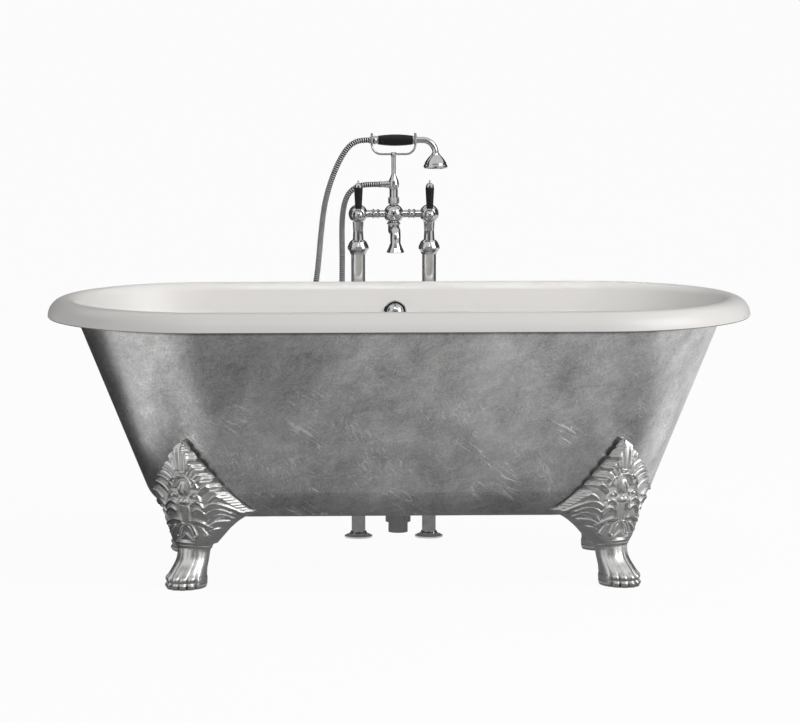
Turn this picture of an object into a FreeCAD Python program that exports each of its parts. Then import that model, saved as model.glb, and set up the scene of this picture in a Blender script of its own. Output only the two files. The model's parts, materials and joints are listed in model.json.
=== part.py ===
import FreeCAD, Part
import math
import os
import Sketcher
from types import SimpleNamespace
from FreeCAD import Placement, Rotation, Vector

# Driving sizes in millimetres, angles in degrees
SIZES = {
    # Bath: cast shell with two rolled ends, a drooping roll rim and an enamel lining
    "tub_length": 1700,
    "tub_width": 780,
    "tub_height": 665,
    "rim_depth": 45,
    "rim_overhang": 51,
    "rim_roll": 42,
    "rim_inner_roll": 22,
    "rim_shell": 9,
    "rim_land": 4,
    "belly_height": 160,
    "end_taper": 255,
    "base_width": 528,
    "belly_radius": 80,
    "iron_wall": 7.5,
    "enamel": 1.5,
    "enamel_edge": 2,
    "overrun": 30,
    "running_gap": 0.06,
    "seat_gap": 0.3,
    # Feet: a scalloped leaf plate on the bath's corner, a cabriole leg and a lobed paw
    "foot_inset": 241,
    "foot_angle": 32.5,
    "foot_height": 350,
    "foot_half_width": 141,
    "wing_height": 182,
    "collar_height": 98,
    "plate_thickness": 16,
    "leaf_thickness": 44,
    "foot_reach": 300,
    "ankle_width": 80,
    "ankle_depth": 75,
    "paw_width": 100,
    "paw_length": 116,
    "paw_height": 62,
    "tongue_width": 56,
    "tongue_thickness": 14,
    "bolt_reach": 150,
    "bolt_radius": 6,
    "bolt_head_radius": 11,
    "bolt_head_height": 8,
    "lug_radius": 22,
    "lug_height": 12,
    # Overflow on the back wall and waste in the floor, joined by a pipe outside
    "overflow_drop": 75,
    "overflow_radius": 29,
    "overflow_plate": 6,
    "overflow_tail": 20,
    "overflow_bore": 15,
    "overflow_cup_radius": 27,
    "overflow_cup_depth": 38,
    "overflow_cup_wall": 5,
    "knob_radius": 20.5,
    "knob_depth": 11,
    "knob_standoff": 4,
    "spindle_radius": 5,
    "overflow_pipe_radius": 16,
    "overflow_pipe_wall": 2,
    "overflow_stub": 34,
    "overflow_bend": 42,
    "waste_setback": 110,
    "waste_flange_radius": 36,
    "waste_flange_height": 3,
    "waste_tail_radius": 26,
    "waste_tail_depth": 22,
    "waste_bore": 20,
    "waste_body_radius": 31,
    "waste_body_drop": 65,
    "waste_outlet_radius": 23.9,
    "waste_outlet_length": 26,
    "waste_arm_drop": 42,
    "waste_arm_reach": 46,
    "gasket_thickness": 3,
    "bridge_half_width": 10,
    "bridge_height": 8,
    "bridge_drop": 34,
    "plug_height": 9,
    "plug_stem": 5,
    "plug_tail": 15,
    # Tap set on two standpipes behind the bath
    "tap_gap": 45,
    "pipe_spacing": 180,
    "pipe_radius": 17.5,
    "pipe_bore": 15.5,
    "floor_flange_radius": 36,
    "floor_flange_height": 15,
    "screw_circle": 56,
    "screw_hole": 2.6,
    "union_drop": 102,
    "union_height": 35.5,
    "union_radius": 26.8,
    "union_lap": 17.5,
    "tail_height": 8,
    "leg_radius": 13.75,
    "leg_waist": 12.4,
    "valve_rise": 163.5,
    "valve_radius": 24,
    "ball_proud": 1.5,
    "bonnet_radius": 12,
    "bar_radius": 9.5,
    "bar_bead": 12.5,
    "mixer_radius": 25,
    "mixer_neck": 12.5,
    "mixer_drop": 27.5,
    "mixer_socket": 14,
    "mixer_top": 24.5,
    # Quarter-turn levers
    "lever_shaft": 5,
    "lever_shaft_length": 15,
    "lever_collar": 9,
    "lever_collar_depth": 3,
    "lever_hub": 14,
    "lever_stem": 6,
    "lever_rise": 16,
    "grip_length": 54.5,
    "grip_radius": 11,
    "cap_height": 18,
    "cap_radius": 10.4,
    # Swivel spout
    "spout_radius": 13,
    "spout_bore": 10.5,
    "spout_reach": 135,
    "spout_bend": 20,
    "spout_slope": 5,
    "spout_drop": 21,
    "spout_turret": 14,
    "spout_spigot": 10,
    "spout_spigot_length": 12,
    "spout_axis_drop": 41.5,
    "mouth_radius": 21.75,
    "mouth_height": 23,
    "mouth_lip": 2,
    "swivel_ring_radius": 17.2,
    "swivel_ring_height": 5.5,
    # Riser, diverter ring, hose outlet and cradle
    "riser_stem": 8,
    "riser_radius": 10.5,
    "diverter_height": 18,
    "diverter_radius": 14.25,
    "flute_radius": 1.7,
    "riser_height": 38,
    "onion_radius": 13.75,
    "onion_height": 35,
    "horn_rise": 12,
    "horn_length": 31,
    "horn_root": 10.5,
    "horn_tip": 7.2,
    "rod_radius": 6.2,
    "rod_height": 49,
    "cradle_wire": 2.7,
    "cradle_span": 55,
    "cradle_boss_radius": 9,
    "cradle_boss_height": 9,
    "prong_rise": 17,
    # Handset
    "handset_rise": 40,
    "handle_left": 39.3,
    "handle_right": 48.4,
    "handle_radius": 14.5,
    "handle_end": 11.2,
    "ferrule_radius": 10.8,
    "ferrule_seat": 8.6,
    "ferrule_left_length": 18,
    "ferrule_right_length": 12.3,
    "neck_radius": 7.9,
    "neck_bore": 6.4,
    "neck_reach": 106,
    "neck_bend": 33,
    "rose_radius": 30.3,
    "rose_height": 38,
    "rose_recess": 4,
    # Shower hose
    "hose_radius": 7.5,
    "hose_valley": 6.4,
    "hose_bore": 4.5,
    "hose_nut_radius": 8.5,
    "hose_nut_length": 6,
}

# Outlines of turned pieces, as shares of the piece's radius and height
FLOOR_FLANGE_SHARES = ((1, 0), (1, 0.26), (0.84, 0.46), (0.6, 0.7), (0.56, 1))
UNION_SHARES = ((0.72, 0), (0.8, 0.16), (0.98, 0.36), (1, 0.46), (0.97, 0.58), (0.78, 0.88), (0.6, 1))
GRIP_SHARES = ((0.7, 0), (0.76, 0.03), (1, 0.93), (0.92, 1))
CAP_SHARES = ((1, 0), (0.96, 0.26), (0.6, 0.5), (0.26, 0.58), (0.17, 0.74), (0.25, 0.84), (0.12, 1))
BAR_SHARES = (
    (0.76, 0), (0.74, 0.24), (1, 0.34), (0.8, 0.43), (0.8, 0.57), (1, 0.66), (0.74, 0.76), (0.76, 1),
)
ONION_SHARES = ((0.76, 0), (0.95, 0.16), (1, 0.36), (0.9, 0.6), (0.66, 0.82), (0.46, 1))
ROD_SHARES = ((1, 0), (0.86, 0.08), (0.9, 0.92), (1, 1))
HOSE_NUT_SHARES = ((0.76, 0), (1, 0.2), (1, 0.66), (0.78, 1))
FERRULE_LEFT_SHARES = ((0.95, 0), (0.95, 0.14), (0.84, 0.2), (1, 0.36), (1, 0.56))
FERRULE_RIGHT_SHARES = ((0.95, 0), (0.95, 0.2))
ROSE_SHARES = (
    (0.93, 0), (1, 0.08), (1, 0.17), (0.93, 0.24), (0.9, 0.35), (0.79, 0.5), (0.65, 0.66), (0.48, 0.81),
    (0.36, 0.9), (0.31, 1),
)
ROSE_FACE_SHARE = 0.82
SWIVEL_RING_SHARES = ((0.86, 0), (1, 0.25), (1, 0.75), (0.86, 1))
DIVERTER_SHARES = ((0.86, 0), (1, 0.16), (1, 0.84), (0.86, 1))

# Foot: half of the plate's upper edge from apex to wing tip, as shares of half width and of wing-to-apex rise
PLATE_SHARES = ((0, 1), (0.2, 0.83), (0.44, 0.62), (0.66, 0.4), (0.86, 0.19), (1, 0))
SCALLOP_SHARE = 0.62
UNDERSIDE_SHARE = 0.36
UNDERSIDE_CURVE_SHARE = 0.86
LEAF_SCALE_SHARE = 0.84
LEAF_BASE_SHARE = 0.1
# Leg sections: shares of foot height, of ankle width, of ankle depth and of the leg's reach
LEG_SHARES = (
    (0.12, 1.06, 1.12, 0.975),
    (0.186, 0.98, 1, 0.915),
    (0.25, 1, 1, 0.888),
    (0.337, 1.2, 1.12, 0.9),
    (0.443, 1.55, 1.33, 0.91),
    (0.571, 1.7, 1.33, 0.925),
    (0.714, 1.4, 1.1, 0.93),
    (0.857, 0.85, 0.72, 0.98),
    (0.97, 0.36, 0.32, 1),
)
# Paw sections: shares of paw height and of its plan size; lobes meet at these turns from the front
PAW_SHARES = ((0, 0.93), (0.3, 1), (0.62, 0.92), (1, 0.66))
PAW_LOBE_ANGLES = (-100, -60, -20, 20, 60, 100)
LOBE_SHARE = 0.6
HEEL_SHARE = 0.56
TONGUE_END_SHARE = 1.02
PLUG_CROWN_SHARE = 0.5

FLUTES = 12
SCREWS = 3
HOSE_RIBS = 60
RIB_SHARES = (0, 0.25, 0.5, 0.75)
HOSE_SAMPLES = 300
HOSE_SAMPLE_STEP = 30
FULL_TURN = 360
QUARTER_TURN = 90
BEND_SHARE = 0.45

# Shower hose from the handset's tail to the outlet: points across and above the floor, in the tap's plane
HOSE_POINTS = (
    (-63.3, 1015),
    (-85, 1015),
    (-105.3, 1006.4),
    (-121.9, 989),
    (-139.9, 958),
    (-158.3, 913.6),
    (-174.8, 856),
    (-184, 781),
    (-191, 697),
    (-203, 612),
    (-231, 520),
    (-267, 440),
    (-300, 370),
    (-298, 329.5),
    (-275.5, 290.5),
    (-236.5, 268),
    (-191.5, 268),
    (-152.5, 290.5),
    (-130, 329.5),
    (-125, 397),
    (-128, 500),
    (-131.5, 615),
    (-130, 722),
    (-131.5, 800),
    (-127, 847.5),
    (-117, 876),
    (-102.5, 892),
    (-83, 900.8),
    (-60, 903),
    (-37, 903),
)

doc = FreeCAD.newDocument("bathtub")
sheet = doc.addObject("Spreadsheet::Sheet", "Sizes")
nodes = []


class Size:
    """A length with the sheet expression that gives it, so that sums of sizes stay tied to their cells."""

    def __init__(self, value, text):
        self.value = float(value)
        self.text = text

    def __add__(self, other):
        other = sized(other)
        return Size(self.value + other.value, f"({self.text} + {other.text})")

    def __sub__(self, other):
        other = sized(other)
        return Size(self.value - other.value, f"({self.text} - {other.text})")

    def __mul__(self, other):
        other = sized(other)
        return Size(self.value * other.value, f"({self.text} * {other.text})")

    def __truediv__(self, other):
        other = sized(other)
        return Size(self.value / other.value, f"({self.text} / {other.text})")

    def __neg__(self):
        return Size(-self.value, f"(-1 * {self.text})")


def sized(item):
    return item if isinstance(item, Size) else Size(item, f"({float(item)!r})")


def root(square):
    return Size(math.sqrt(square.value), f"sqrt({square.text})")


def far_side(long_side, short_side):
    """The other short side of a right triangle."""
    return root(long_side * long_side - short_side * short_side)


def span(across, along):
    return root(across * across + along * along)


def sine(angle):
    return Size(math.sin(math.radians(angle.value)), f"sin({angle.text} * 1 deg)")


def cosine(angle):
    return Size(math.cos(math.radians(angle.value)), f"cos({angle.text} * 1 deg)")


def tangent(angle):
    return Size(math.tan(math.radians(angle.value)), f"tan({angle.text} * 1 deg)")


def slope_angle(rise, run):
    value = math.degrees(math.atan2(rise.value, run.value))
    return Size(value, f"(atan({rise.text} / {run.text}) / 1 deg)")


def fill_sheet():
    """Writes every driving size into the sheet and returns them by name."""
    for row, (name, value) in enumerate(SIZES.items(), start=1):
        sheet.set(f"A{row}", name)
        sheet.set(f"B{row}", str(value))
        sheet.setAlias(f"B{row}", name)
    doc.recompute()
    return SimpleNamespace(**{name: Size(value, f"Sizes.{name}") for name, value in SIZES.items()})


d = fill_sheet()
ZERO = sized(0)
ONE = sized(1)
FRONT = Rotation(Vector(1, 0, 0), QUARTER_TURN)
RIGHT = Rotation(Vector(0, 1, 0), QUARTER_TURN)
LEFT = Rotation(Vector(0, 1, 0), -QUARTER_TURN)
UPRIGHT = Rotation()


def bind(thing, prop, size):
    thing.setExpression(prop, size.text)


def place(thing, x, y, z, turn=UPRIGHT):
    """Puts an object at a bound place, turned by a fixed rotation."""
    thing.Placement = Placement(Vector(x.value, y.value, z.value), turn)
    for axis, size in zip("xyz", (x, y, z)):
        if size.text != ZERO.text:
            bind(thing, f"Placement.Base.{axis}", size)


def new_body(label, kept=True):
    body = doc.addObject("PartDesign::Body", label)
    body.Label = label
    if kept:
        nodes.append(body)
    return body


def sketch_on(body, name, role, offset=ZERO):
    """A sketch on one of the body's own origin planes, moved along the plane's normal."""
    sketch = body.newObject("Sketcher::SketchObject", name)
    plane = next(item for item in body.Origin.OriginFeatures if item.Role == role)
    sketch.AttachmentSupport = (plane, [""])
    sketch.MapMode = "FlatFace"
    sketch.AttachmentOffset = Placement(Vector(0, 0, offset.value), UPRIGHT)
    if offset.text != ZERO.text:
        bind(sketch, "AttachmentOffset.Base.z", offset)
    return sketch


def pin_point(sketch, edge, end, x, y):
    """Ties one end of an edge to its coordinates."""
    for kind, axis, size in (("DistanceX", -2, x), ("DistanceY", -1, y)):
        if abs(size.value) < 1e-9:
            sketch.addConstraint(Sketcher.Constraint("PointOnObject", edge, end, axis))
        elif size.value > 0:
            number = sketch.addConstraint(Sketcher.Constraint(kind, -1, 1, edge, end, size.value))
            bind(sketch, f"Constraints[{number}]", size)
        else:
            number = sketch.addConstraint(Sketcher.Constraint(kind, edge, end, -1, 1, -size.value))
            bind(sketch, f"Constraints[{number}]", -size)


def arc_between(start, end, radius, left):
    """The short arc from start to end with its centre to the left or right of the way there."""
    middle = (start + end) * 0.5
    way = end - start
    half = way.Length / 2
    height = math.sqrt(max(radius * radius - half * half, 0))
    side = Vector(-way.y, way.x, 0).normalize() * (height if left else -height)
    centre = middle + side
    first, last = (start, end) if left else (end, start)
    angles = [math.atan2(point.y - centre.y, point.x - centre.x) for point in (first, last)]
    return Part.ArcOfCircle(Part.Circle(centre, Vector(0, 0, 1), radius), angles[0], angles[1])


def draw(sketch, points, closed=True):
    """Draws a chain of lines and arcs; a third value in a point is the radius of the arc to the next one,
    positive with its centre to the left of the way, negative to the right."""
    spots = [Vector(point[0].value, point[1].value, 0) for point in points]
    count = len(points) if closed else len(points) - 1
    ends = []
    for index in range(count):
        start, end = spots[index], spots[(index + 1) % len(spots)]
        if len(points[index]) == 2:
            edge = sketch.addGeometry(Part.LineSegment(start, end))
            ends.append((edge, 1, 2))
            continue
        radius = points[index][2]
        left = radius.value > 0
        edge = sketch.addGeometry(arc_between(start, end, abs(radius.value), left))
        number = sketch.addConstraint(Sketcher.Constraint("Radius", edge, abs(radius.value)))
        bind(sketch, f"Constraints[{number}]", radius if left else -radius)
        ends.append((edge, 1, 2) if left else (edge, 2, 1))
    for index in range(count):
        edge, first, last = ends[index]
        pin_point(sketch, edge, first, *points[index][:2])
        following = ends[(index + 1) % count]
        if closed or index + 1 < count:
            sketch.addConstraint(Sketcher.Constraint("Coincident", edge, last, following[0], following[1]))
        else:
            pin_point(sketch, edge, last, *points[-1][:2])


def circle(sketch, radius, x=ZERO, y=ZERO):
    edge = sketch.addGeometry(Part.Circle(Vector(x.value, y.value, 0), Vector(0, 0, 1), radius.value))
    number = sketch.addConstraint(Sketcher.Constraint("Radius", edge, radius.value))
    bind(sketch, f"Constraints[{number}]", radius)
    pin_point(sketch, edge, 3, x, y)


def ellipse(sketch, half_width, half_depth, x, y):
    centre = Vector(x.value, y.value, 0)
    across = centre + Vector(half_width.value, 0, 0)
    along = centre + Vector(0, half_depth.value, 0)
    edge = sketch.addGeometry(Part.Ellipse(across, along, centre))
    sketch.exposeInternalGeometry(edge)
    pin_point(sketch, edge, 3, x, y)
    sketch.addConstraint(Sketcher.Constraint("Horizontal", edge + 1))
    for axis, half in ((edge + 1, half_width), (edge + 2, half_depth)):
        number = sketch.addConstraint(Sketcher.Constraint("Distance", axis, half.value * 2))
        bind(sketch, f"Constraints[{number}]", half * 2)


def stadium(sketch, half_length, half_width):
    """A slot outline: two straight sides and two half-round ends, centred on the sketch."""
    middle = half_length - half_width
    x, r = middle.value, half_width.value
    up = Vector(0, 0, 1)
    south = sketch.addGeometry(Part.LineSegment(Vector(-x, -r, 0), Vector(x, -r, 0)))
    quarter = math.pi / 2
    east = sketch.addGeometry(Part.ArcOfCircle(Part.Circle(Vector(x, 0, 0), up, r), -quarter, quarter))
    north = sketch.addGeometry(Part.LineSegment(Vector(x, r, 0), Vector(-x, r, 0)))
    west = sketch.addGeometry(Part.ArcOfCircle(Part.Circle(Vector(-x, 0, 0), up, r), quarter, 3 * quarter))
    for first, second in ((south, east), (east, north), (north, west), (west, south)):
        sketch.addConstraint(Sketcher.Constraint("Tangent", first, 2, second, 1))
    sketch.addConstraint(Sketcher.Constraint("Equal", east, west))
    pin_point(sketch, east, 3, middle, ZERO)
    pin_point(sketch, west, 3, -middle, ZERO)
    number = sketch.addConstraint(Sketcher.Constraint("Radius", east, r))
    bind(sketch, f"Constraints[{number}]", half_width)


def revolve(body, name, points):
    sketch = sketch_on(body, name + "_profile", "XZ_Plane")
    draw(sketch, points)
    turning = body.newObject("PartDesign::Revolution", name)
    turning.Profile = sketch
    turning.ReferenceAxis = (sketch, ["V_Axis"])
    turning.Angle = FULL_TURN
    return turning


def turned(label, points, x, y, z, turn=UPRIGHT):
    """A node turned about its own upright axis."""
    body = new_body(label)
    revolve(body, label + "_turning", points)
    place(body, x, y, z, turn)
    return body


def shaped(shares, radius, height, base=ZERO):
    return [(radius * across, base + height * along) for across, along in shares]


def solid_outline(shares, radius, height):
    return [(ZERO, ZERO)] + shaped(shares, radius, height) + [(ZERO, height)]


def ring_outline(shares, bore, radius, height):
    return [(bore, ZERO)] + shaped(shares, radius, height) + [(bore, height)]


def rod(body, name, kind, radius, length, x, y, z, turn=UPRIGHT):
    """A cylinder added to or cut from a body."""
    feature = body.newObject(f"PartDesign::{kind}Cylinder", name)
    feature.Radius = radius.value
    feature.Height = length.value
    bind(feature, "Radius", radius)
    bind(feature, "Height", length)
    place(feature, x, y, z, turn)
    return feature


def pad(body, name, sketch, length, kind="Pad", reverse=False):
    feature = body.newObject(f"PartDesign::{kind}", name)
    feature.Profile = sketch
    feature.Length = length.value
    bind(feature, "Length", length)
    feature.Reversed = reverse
    return feature


def lofted(name, sketches, ruled=True):
    """A solid through closed outlines."""
    block = doc.addObject("Part::Loft", name)
    block.Sections = sketches
    block.Solid = True
    block.Ruled = ruled
    return block


def minus(name, base, tool):
    cut = doc.addObject("Part::Cut", name)
    cut.Base = base
    cut.Tool = tool
    return cut


def pipe(body, name, section, path):
    feature = body.newObject("PartDesign::AdditivePipe", name)
    feature.Profile = section
    feature.Spine = (path, [f"Edge{number + 1}" for number in range(path.GeometryCount)])
    return feature


def spin_pattern(body, name, feature, copies):
    pattern = body.newObject("PartDesign::PolarPattern", name)
    pattern.Originals = [feature]
    pattern.Axis = (feature.Profile[0], ["N_Axis"])
    pattern.Angle = FULL_TURN
    pattern.Occurrences = copies
    body.Tip = pattern
    return pattern


def round_edges(body, name, base, radius, height, half_width):
    """Fillets the level loop of edges at one height whose corners lie at one half width."""
    doc.recompute()
    names = []
    for number, edge in enumerate(base.Shape.Edges, start=1):
        level = all(abs(corner.Z - height.value) < 1e-4 for corner in edge.Vertexes)
        if level and all(abs(abs(corner.Y) - half_width.value) < 1e-4 for corner in edge.Vertexes):
            names.append(f"Edge{number}")
    feature = body.newObject("PartDesign::Fillet", name)
    feature.Base = (base, names)
    feature.Radius = radius.value
    bind(feature, "Radius", radius)
    return feature


# Places that several pieces share
tap_setback = d.tub_width / 2 + d.tap_gap
tub_y = (d.tub_width / 2 - tap_setback - d.floor_flange_radius) / 2
tap_y = tub_y + tap_setback
base_half_length = d.tub_length / 2 - d.end_taper
foot_centre = base_half_length - d.foot_inset
overflow_height = d.tub_height - d.overflow_drop
valve_height = d.tub_height + d.valve_rise
union_base = valve_height - d.union_drop
lip_height = d.tub_height - d.rim_depth
floor_top = d.belly_height + d.iron_wall + d.enamel
pipe_top = union_base + d.union_lap
lug_bottom = d.belly_height - d.lug_height
cradle_height = valve_height + d.mixer_top + d.riser_height + d.onion_height + d.rod_height
handset_height = cradle_height + d.handset_rise


def wall(height, inset=ZERO):
    """Half length and half width of the bath's tapering wall at one height."""
    rise = (height - d.belly_height) / (d.tub_height - d.belly_height)
    top_length = d.tub_length / 2 - d.rim_overhang
    top_width = d.tub_width / 2 - d.rim_overhang
    half_length = base_half_length + (top_length - base_half_length) * rise - inset
    half_width = d.base_width / 2 + (top_width - d.base_width / 2) * rise - inset
    return half_length, half_width


def wall_block(name, low, high, inset=ZERO):
    """A solid block whose sides follow the bath's tapering wall, moved in from its outside."""
    outlines = new_body(name + "_outlines", False)
    sketches = []
    for end, height in (("low", low), ("high", high)):
        sketch = sketch_on(outlines, f"{name}_{end}", "XY_Plane", height)
        stadium(sketch, *wall(height, inset))
        sketches.append(sketch)
    return lofted(name, sketches)


def rim_block(body, name, base, height, inset):
    half_length = d.tub_length / 2 - inset
    half_width = d.tub_width / 2 - inset
    sketch = sketch_on(body, name + "_outline", "XY_Plane", base)
    stadium(sketch, half_length, half_width)
    return pad(body, name, sketch, height)


def rounded_block(name, low, high, inset):
    """A tapering block with a rounded bottom edge."""
    body = new_body(name + "_rounded", False)
    body.BaseFeature = wall_block(name, low, high, inset)
    round_edges(body, name + "_belly", body.Group[0], d.belly_radius - inset, low, wall(low, inset)[1])
    return body


def basin(body, name, skin, inset, lip):
    """A walled bath blank: tapering hull, rim, cavity with a rounded floor, and rolled rim.
    skin is how far the blank lies inside the finished surface."""
    top = d.tub_height - skin
    hull = rounded_block(name + "_hull", d.belly_height + inset, top, inset)
    rim_block(hull, name + "_rim", lip, top - lip, skin)
    depth = d.iron_wall + d.enamel - skin
    cavity = rounded_block(name + "_cavity", d.belly_height + depth, d.tub_height + d.overrun, depth)
    body.BaseFeature = minus(name + "_walls", hull, cavity)
    roll = round_edges(body, name + "_roll", body.Group[0], d.rim_roll - skin, top, d.tub_width / 2 - skin)
    round_edges(body, name + "_inner_roll", roll, d.rim_inner_roll - skin, top, wall(top, depth)[1])


def foot_spots(reach):
    """The four places at one reach along the feet, from the bath's centre."""
    x = foot_centre + reach * sine(d.foot_angle)
    y = reach * cosine(d.foot_angle)
    return [("front_left", -x, -y), ("front_right", x, -y), ("rear_left", -x, y), ("rear_right", x, y)]


def overflow_cutter(body, name):
    place_y, tilt = overflow_seat()
    outside = place_y + d.overrun * cosine(tilt)
    below = overflow_height - d.overrun * sine(tilt)
    turn = Rotation(Vector(1, 0, 0), QUARTER_TURN - tilt.value)
    radius = d.overflow_tail + d.seat_gap
    hole = rod(body, name, "Subtractive", radius, d.overrun * 2, ZERO, outside, below, turn)
    bind(hole, "Placement.Rotation.Angle", sized(QUARTER_TURN) - tilt)
    return hole


def overflow_seat():
    """Where the overflow's axis meets the outside of the back wall, and the wall's tilt."""
    tilt = slope_angle(wall(d.tub_height)[1] - d.base_width / 2, d.tub_height - d.belly_height)
    return wall(overflow_height)[1], tilt


def rim_hollow():
    """The space under the rolled rim, as a ring with a rounded outer top."""
    body = new_body("rim_hollow", False)
    top = d.tub_height - d.enamel - d.rim_shell
    low = lip_height - d.overrun
    inset = d.enamel + d.rim_shell
    half_width = d.tub_width / 2 - inset
    sketch = sketch_on(body, "rim_hollow_outline", "XY_Plane", low)
    stadium(sketch, d.tub_length / 2 - inset, half_width)
    stadium(sketch, *wall(top, -d.rim_land))
    ring = pad(body, "rim_hollow_ring", sketch, top - low)
    round_edges(body, "rim_hollow_roll", ring, d.rim_roll - inset, top, half_width)
    return body


def tub_shell():
    """Cast iron shell; returns the blank that the enamel is fitted to."""
    blank = new_body("tub_blank", False)
    basin(blank, "tub", d.enamel, ZERO, lip_height)
    body = new_body("tub_shell")
    body.BaseFeature = minus("tub_hollowed", blank, rim_hollow())
    sketch = sketch_on(body, "lug_outline", "XY_Plane", lug_bottom)
    for name, x, y in foot_spots(d.bolt_reach):
        circle(sketch, d.lug_radius, x, y)
    pad(body, "lugs", sketch, d.lug_height + d.iron_wall / 2)
    sketch = sketch_on(body, "lug_hole_outline", "XY_Plane", lug_bottom)
    for name, x, y in foot_spots(d.bolt_reach):
        circle(sketch, d.bolt_radius, x, y)
    pad(body, "lug_holes", sketch, d.lug_height, "Pocket", True)
    waste_cutter(body, "waste_hole")
    overflow_cutter(body, "overflow_hole")
    place(body, ZERO, tub_y, ZERO)
    return blank


def waste_cutter(body, name):
    radius = d.waste_tail_radius + d.seat_gap
    low = d.belly_height - d.overrun
    return rod(body, name, "Subtractive", radius, d.overrun * 2, ZERO, d.waste_setback, low)


def enamel_lining(blank):
    """Glass coat over the inside, the rim and its rolled edge."""
    body = new_body("enamel_blank", False)
    basin(body, "coat", ZERO, d.iron_wall / 2, lip_height + d.enamel_edge)
    waste_cutter(body, "coat_waste_hole")
    overflow_cutter(body, "coat_overflow_hole")
    cut = minus("enamel_lining", body, blank)
    place(cut, ZERO, tub_y, ZERO)
    cut.Label = "enamel_lining"
    nodes.append(cut)


def place_foot(thing):
    place(thing, -foot_centre, tub_y, ZERO, Rotation(Vector(0, 0, -1), d.foot_angle.value))
    bind(thing, "Placement.Rotation.Angle", d.foot_angle)


def leaf_layer(name, thickness, scale, base):
    """A scalloped leaf that follows the bath's corner at one thickness."""
    outline = new_body(name + "_outline", False)
    sketch = sketch_on(outline, name + "_edge", "XZ_Plane")
    half_width = d.foot_half_width * scale
    rise = (d.foot_height - d.wing_height) * scale
    right = [(half_width * across, d.wing_height + rise * along) for across, along in PLATE_SHARES]
    points = []
    for first, second in zip(right, right[1:]):
        radius = span(second[0] - first[0], second[1] - first[1]) * SCALLOP_SHARE
        points.append((*first, -radius))
    tip = right[-1]
    foot = (half_width * UNDERSIDE_SHARE, base)
    curve = span(tip[0] - foot[0], tip[1] - foot[1]) * UNDERSIDE_CURVE_SHARE
    points.append((*tip, curve))
    points.append(foot)
    points.append((-foot[0], base, curve))
    for first, second in zip(right[::-1], right[-2::-1]):
        radius = span(second[0] - first[0], second[1] - first[1]) * SCALLOP_SHARE
        points.append((-first[0], first[1], -radius))
    draw(sketch, points)
    pad(outline, name + "_block", sketch, d.foot_reach + d.plate_thickness + d.overrun)
    place_foot(outline)
    swell = wall_block(name + "_swell", base - d.overrun, d.foot_height + d.overrun, -thickness)
    place(swell, ZERO, tub_y, ZERO)
    layer = doc.addObject("Part::Common", name)
    layer.Base = outline
    layer.Tool = swell
    return layer


def paw_points(width, length):
    """Lobed outline of the paw about its own centre, front towards minus Y."""
    rim = [(width / 2 * math.sin(math.radians(turn)), -length / 2 * math.cos(math.radians(turn)))
           for turn in PAW_LOBE_ANGLES]
    points = []
    for first, second in zip(rim, rim[1:]):
        chord = span(second[0] - first[0], second[1] - first[1])
        points.append((*first, chord * LOBE_SHARE))
    points.append((*rim[-1], width * HEEL_SHARE))
    return points


def foot_leg():
    """Lobed paw and cabriole leg."""
    outlines = new_body("foot_leg_outlines", False)
    paw, leg = [], []
    for number, (rise, scale) in enumerate(PAW_SHARES):
        sketch = sketch_on(outlines, f"paw_section_{number}", "XY_Plane", d.paw_height * rise)
        outline = paw_points(d.paw_width * scale, d.paw_length * scale)
        draw(sketch, [(point[0], point[1] - d.foot_reach, *point[2:]) for point in outline])
        paw.append(sketch)
    for number, (rise, width, depth, reach) in enumerate(LEG_SHARES):
        sketch = sketch_on(outlines, f"leg_section_{number}", "XY_Plane", d.foot_height * rise)
        ellipse(sketch, d.ankle_width / 2 * width, d.ankle_depth / 2 * depth, ZERO, -(d.foot_reach * reach))
        leg.append(sketch)
    pieces = [lofted("foot_paw", paw), lofted("foot_leg", leg, False)]
    for piece in pieces:
        place_foot(piece)
    return pieces


def foot_tongue():
    """Flat tongue that runs under the bath to the bolt."""
    body = new_body("foot_tongue", False)
    sketch = sketch_on(body, "tongue_outline", "XY_Plane", lug_bottom - d.tongue_thickness)
    half = d.tongue_width / 2
    front = -(d.foot_reach)
    back = -(d.bolt_reach)
    draw(sketch, [(-half, front), (half, front), (half, back, half * TONGUE_END_SHARE), (-half, back)])
    circle(sketch, d.bolt_radius + d.seat_gap, ZERO, back)
    pad(body, "tongue", sketch, d.tongue_thickness)
    place_foot(body)
    return body


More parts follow.
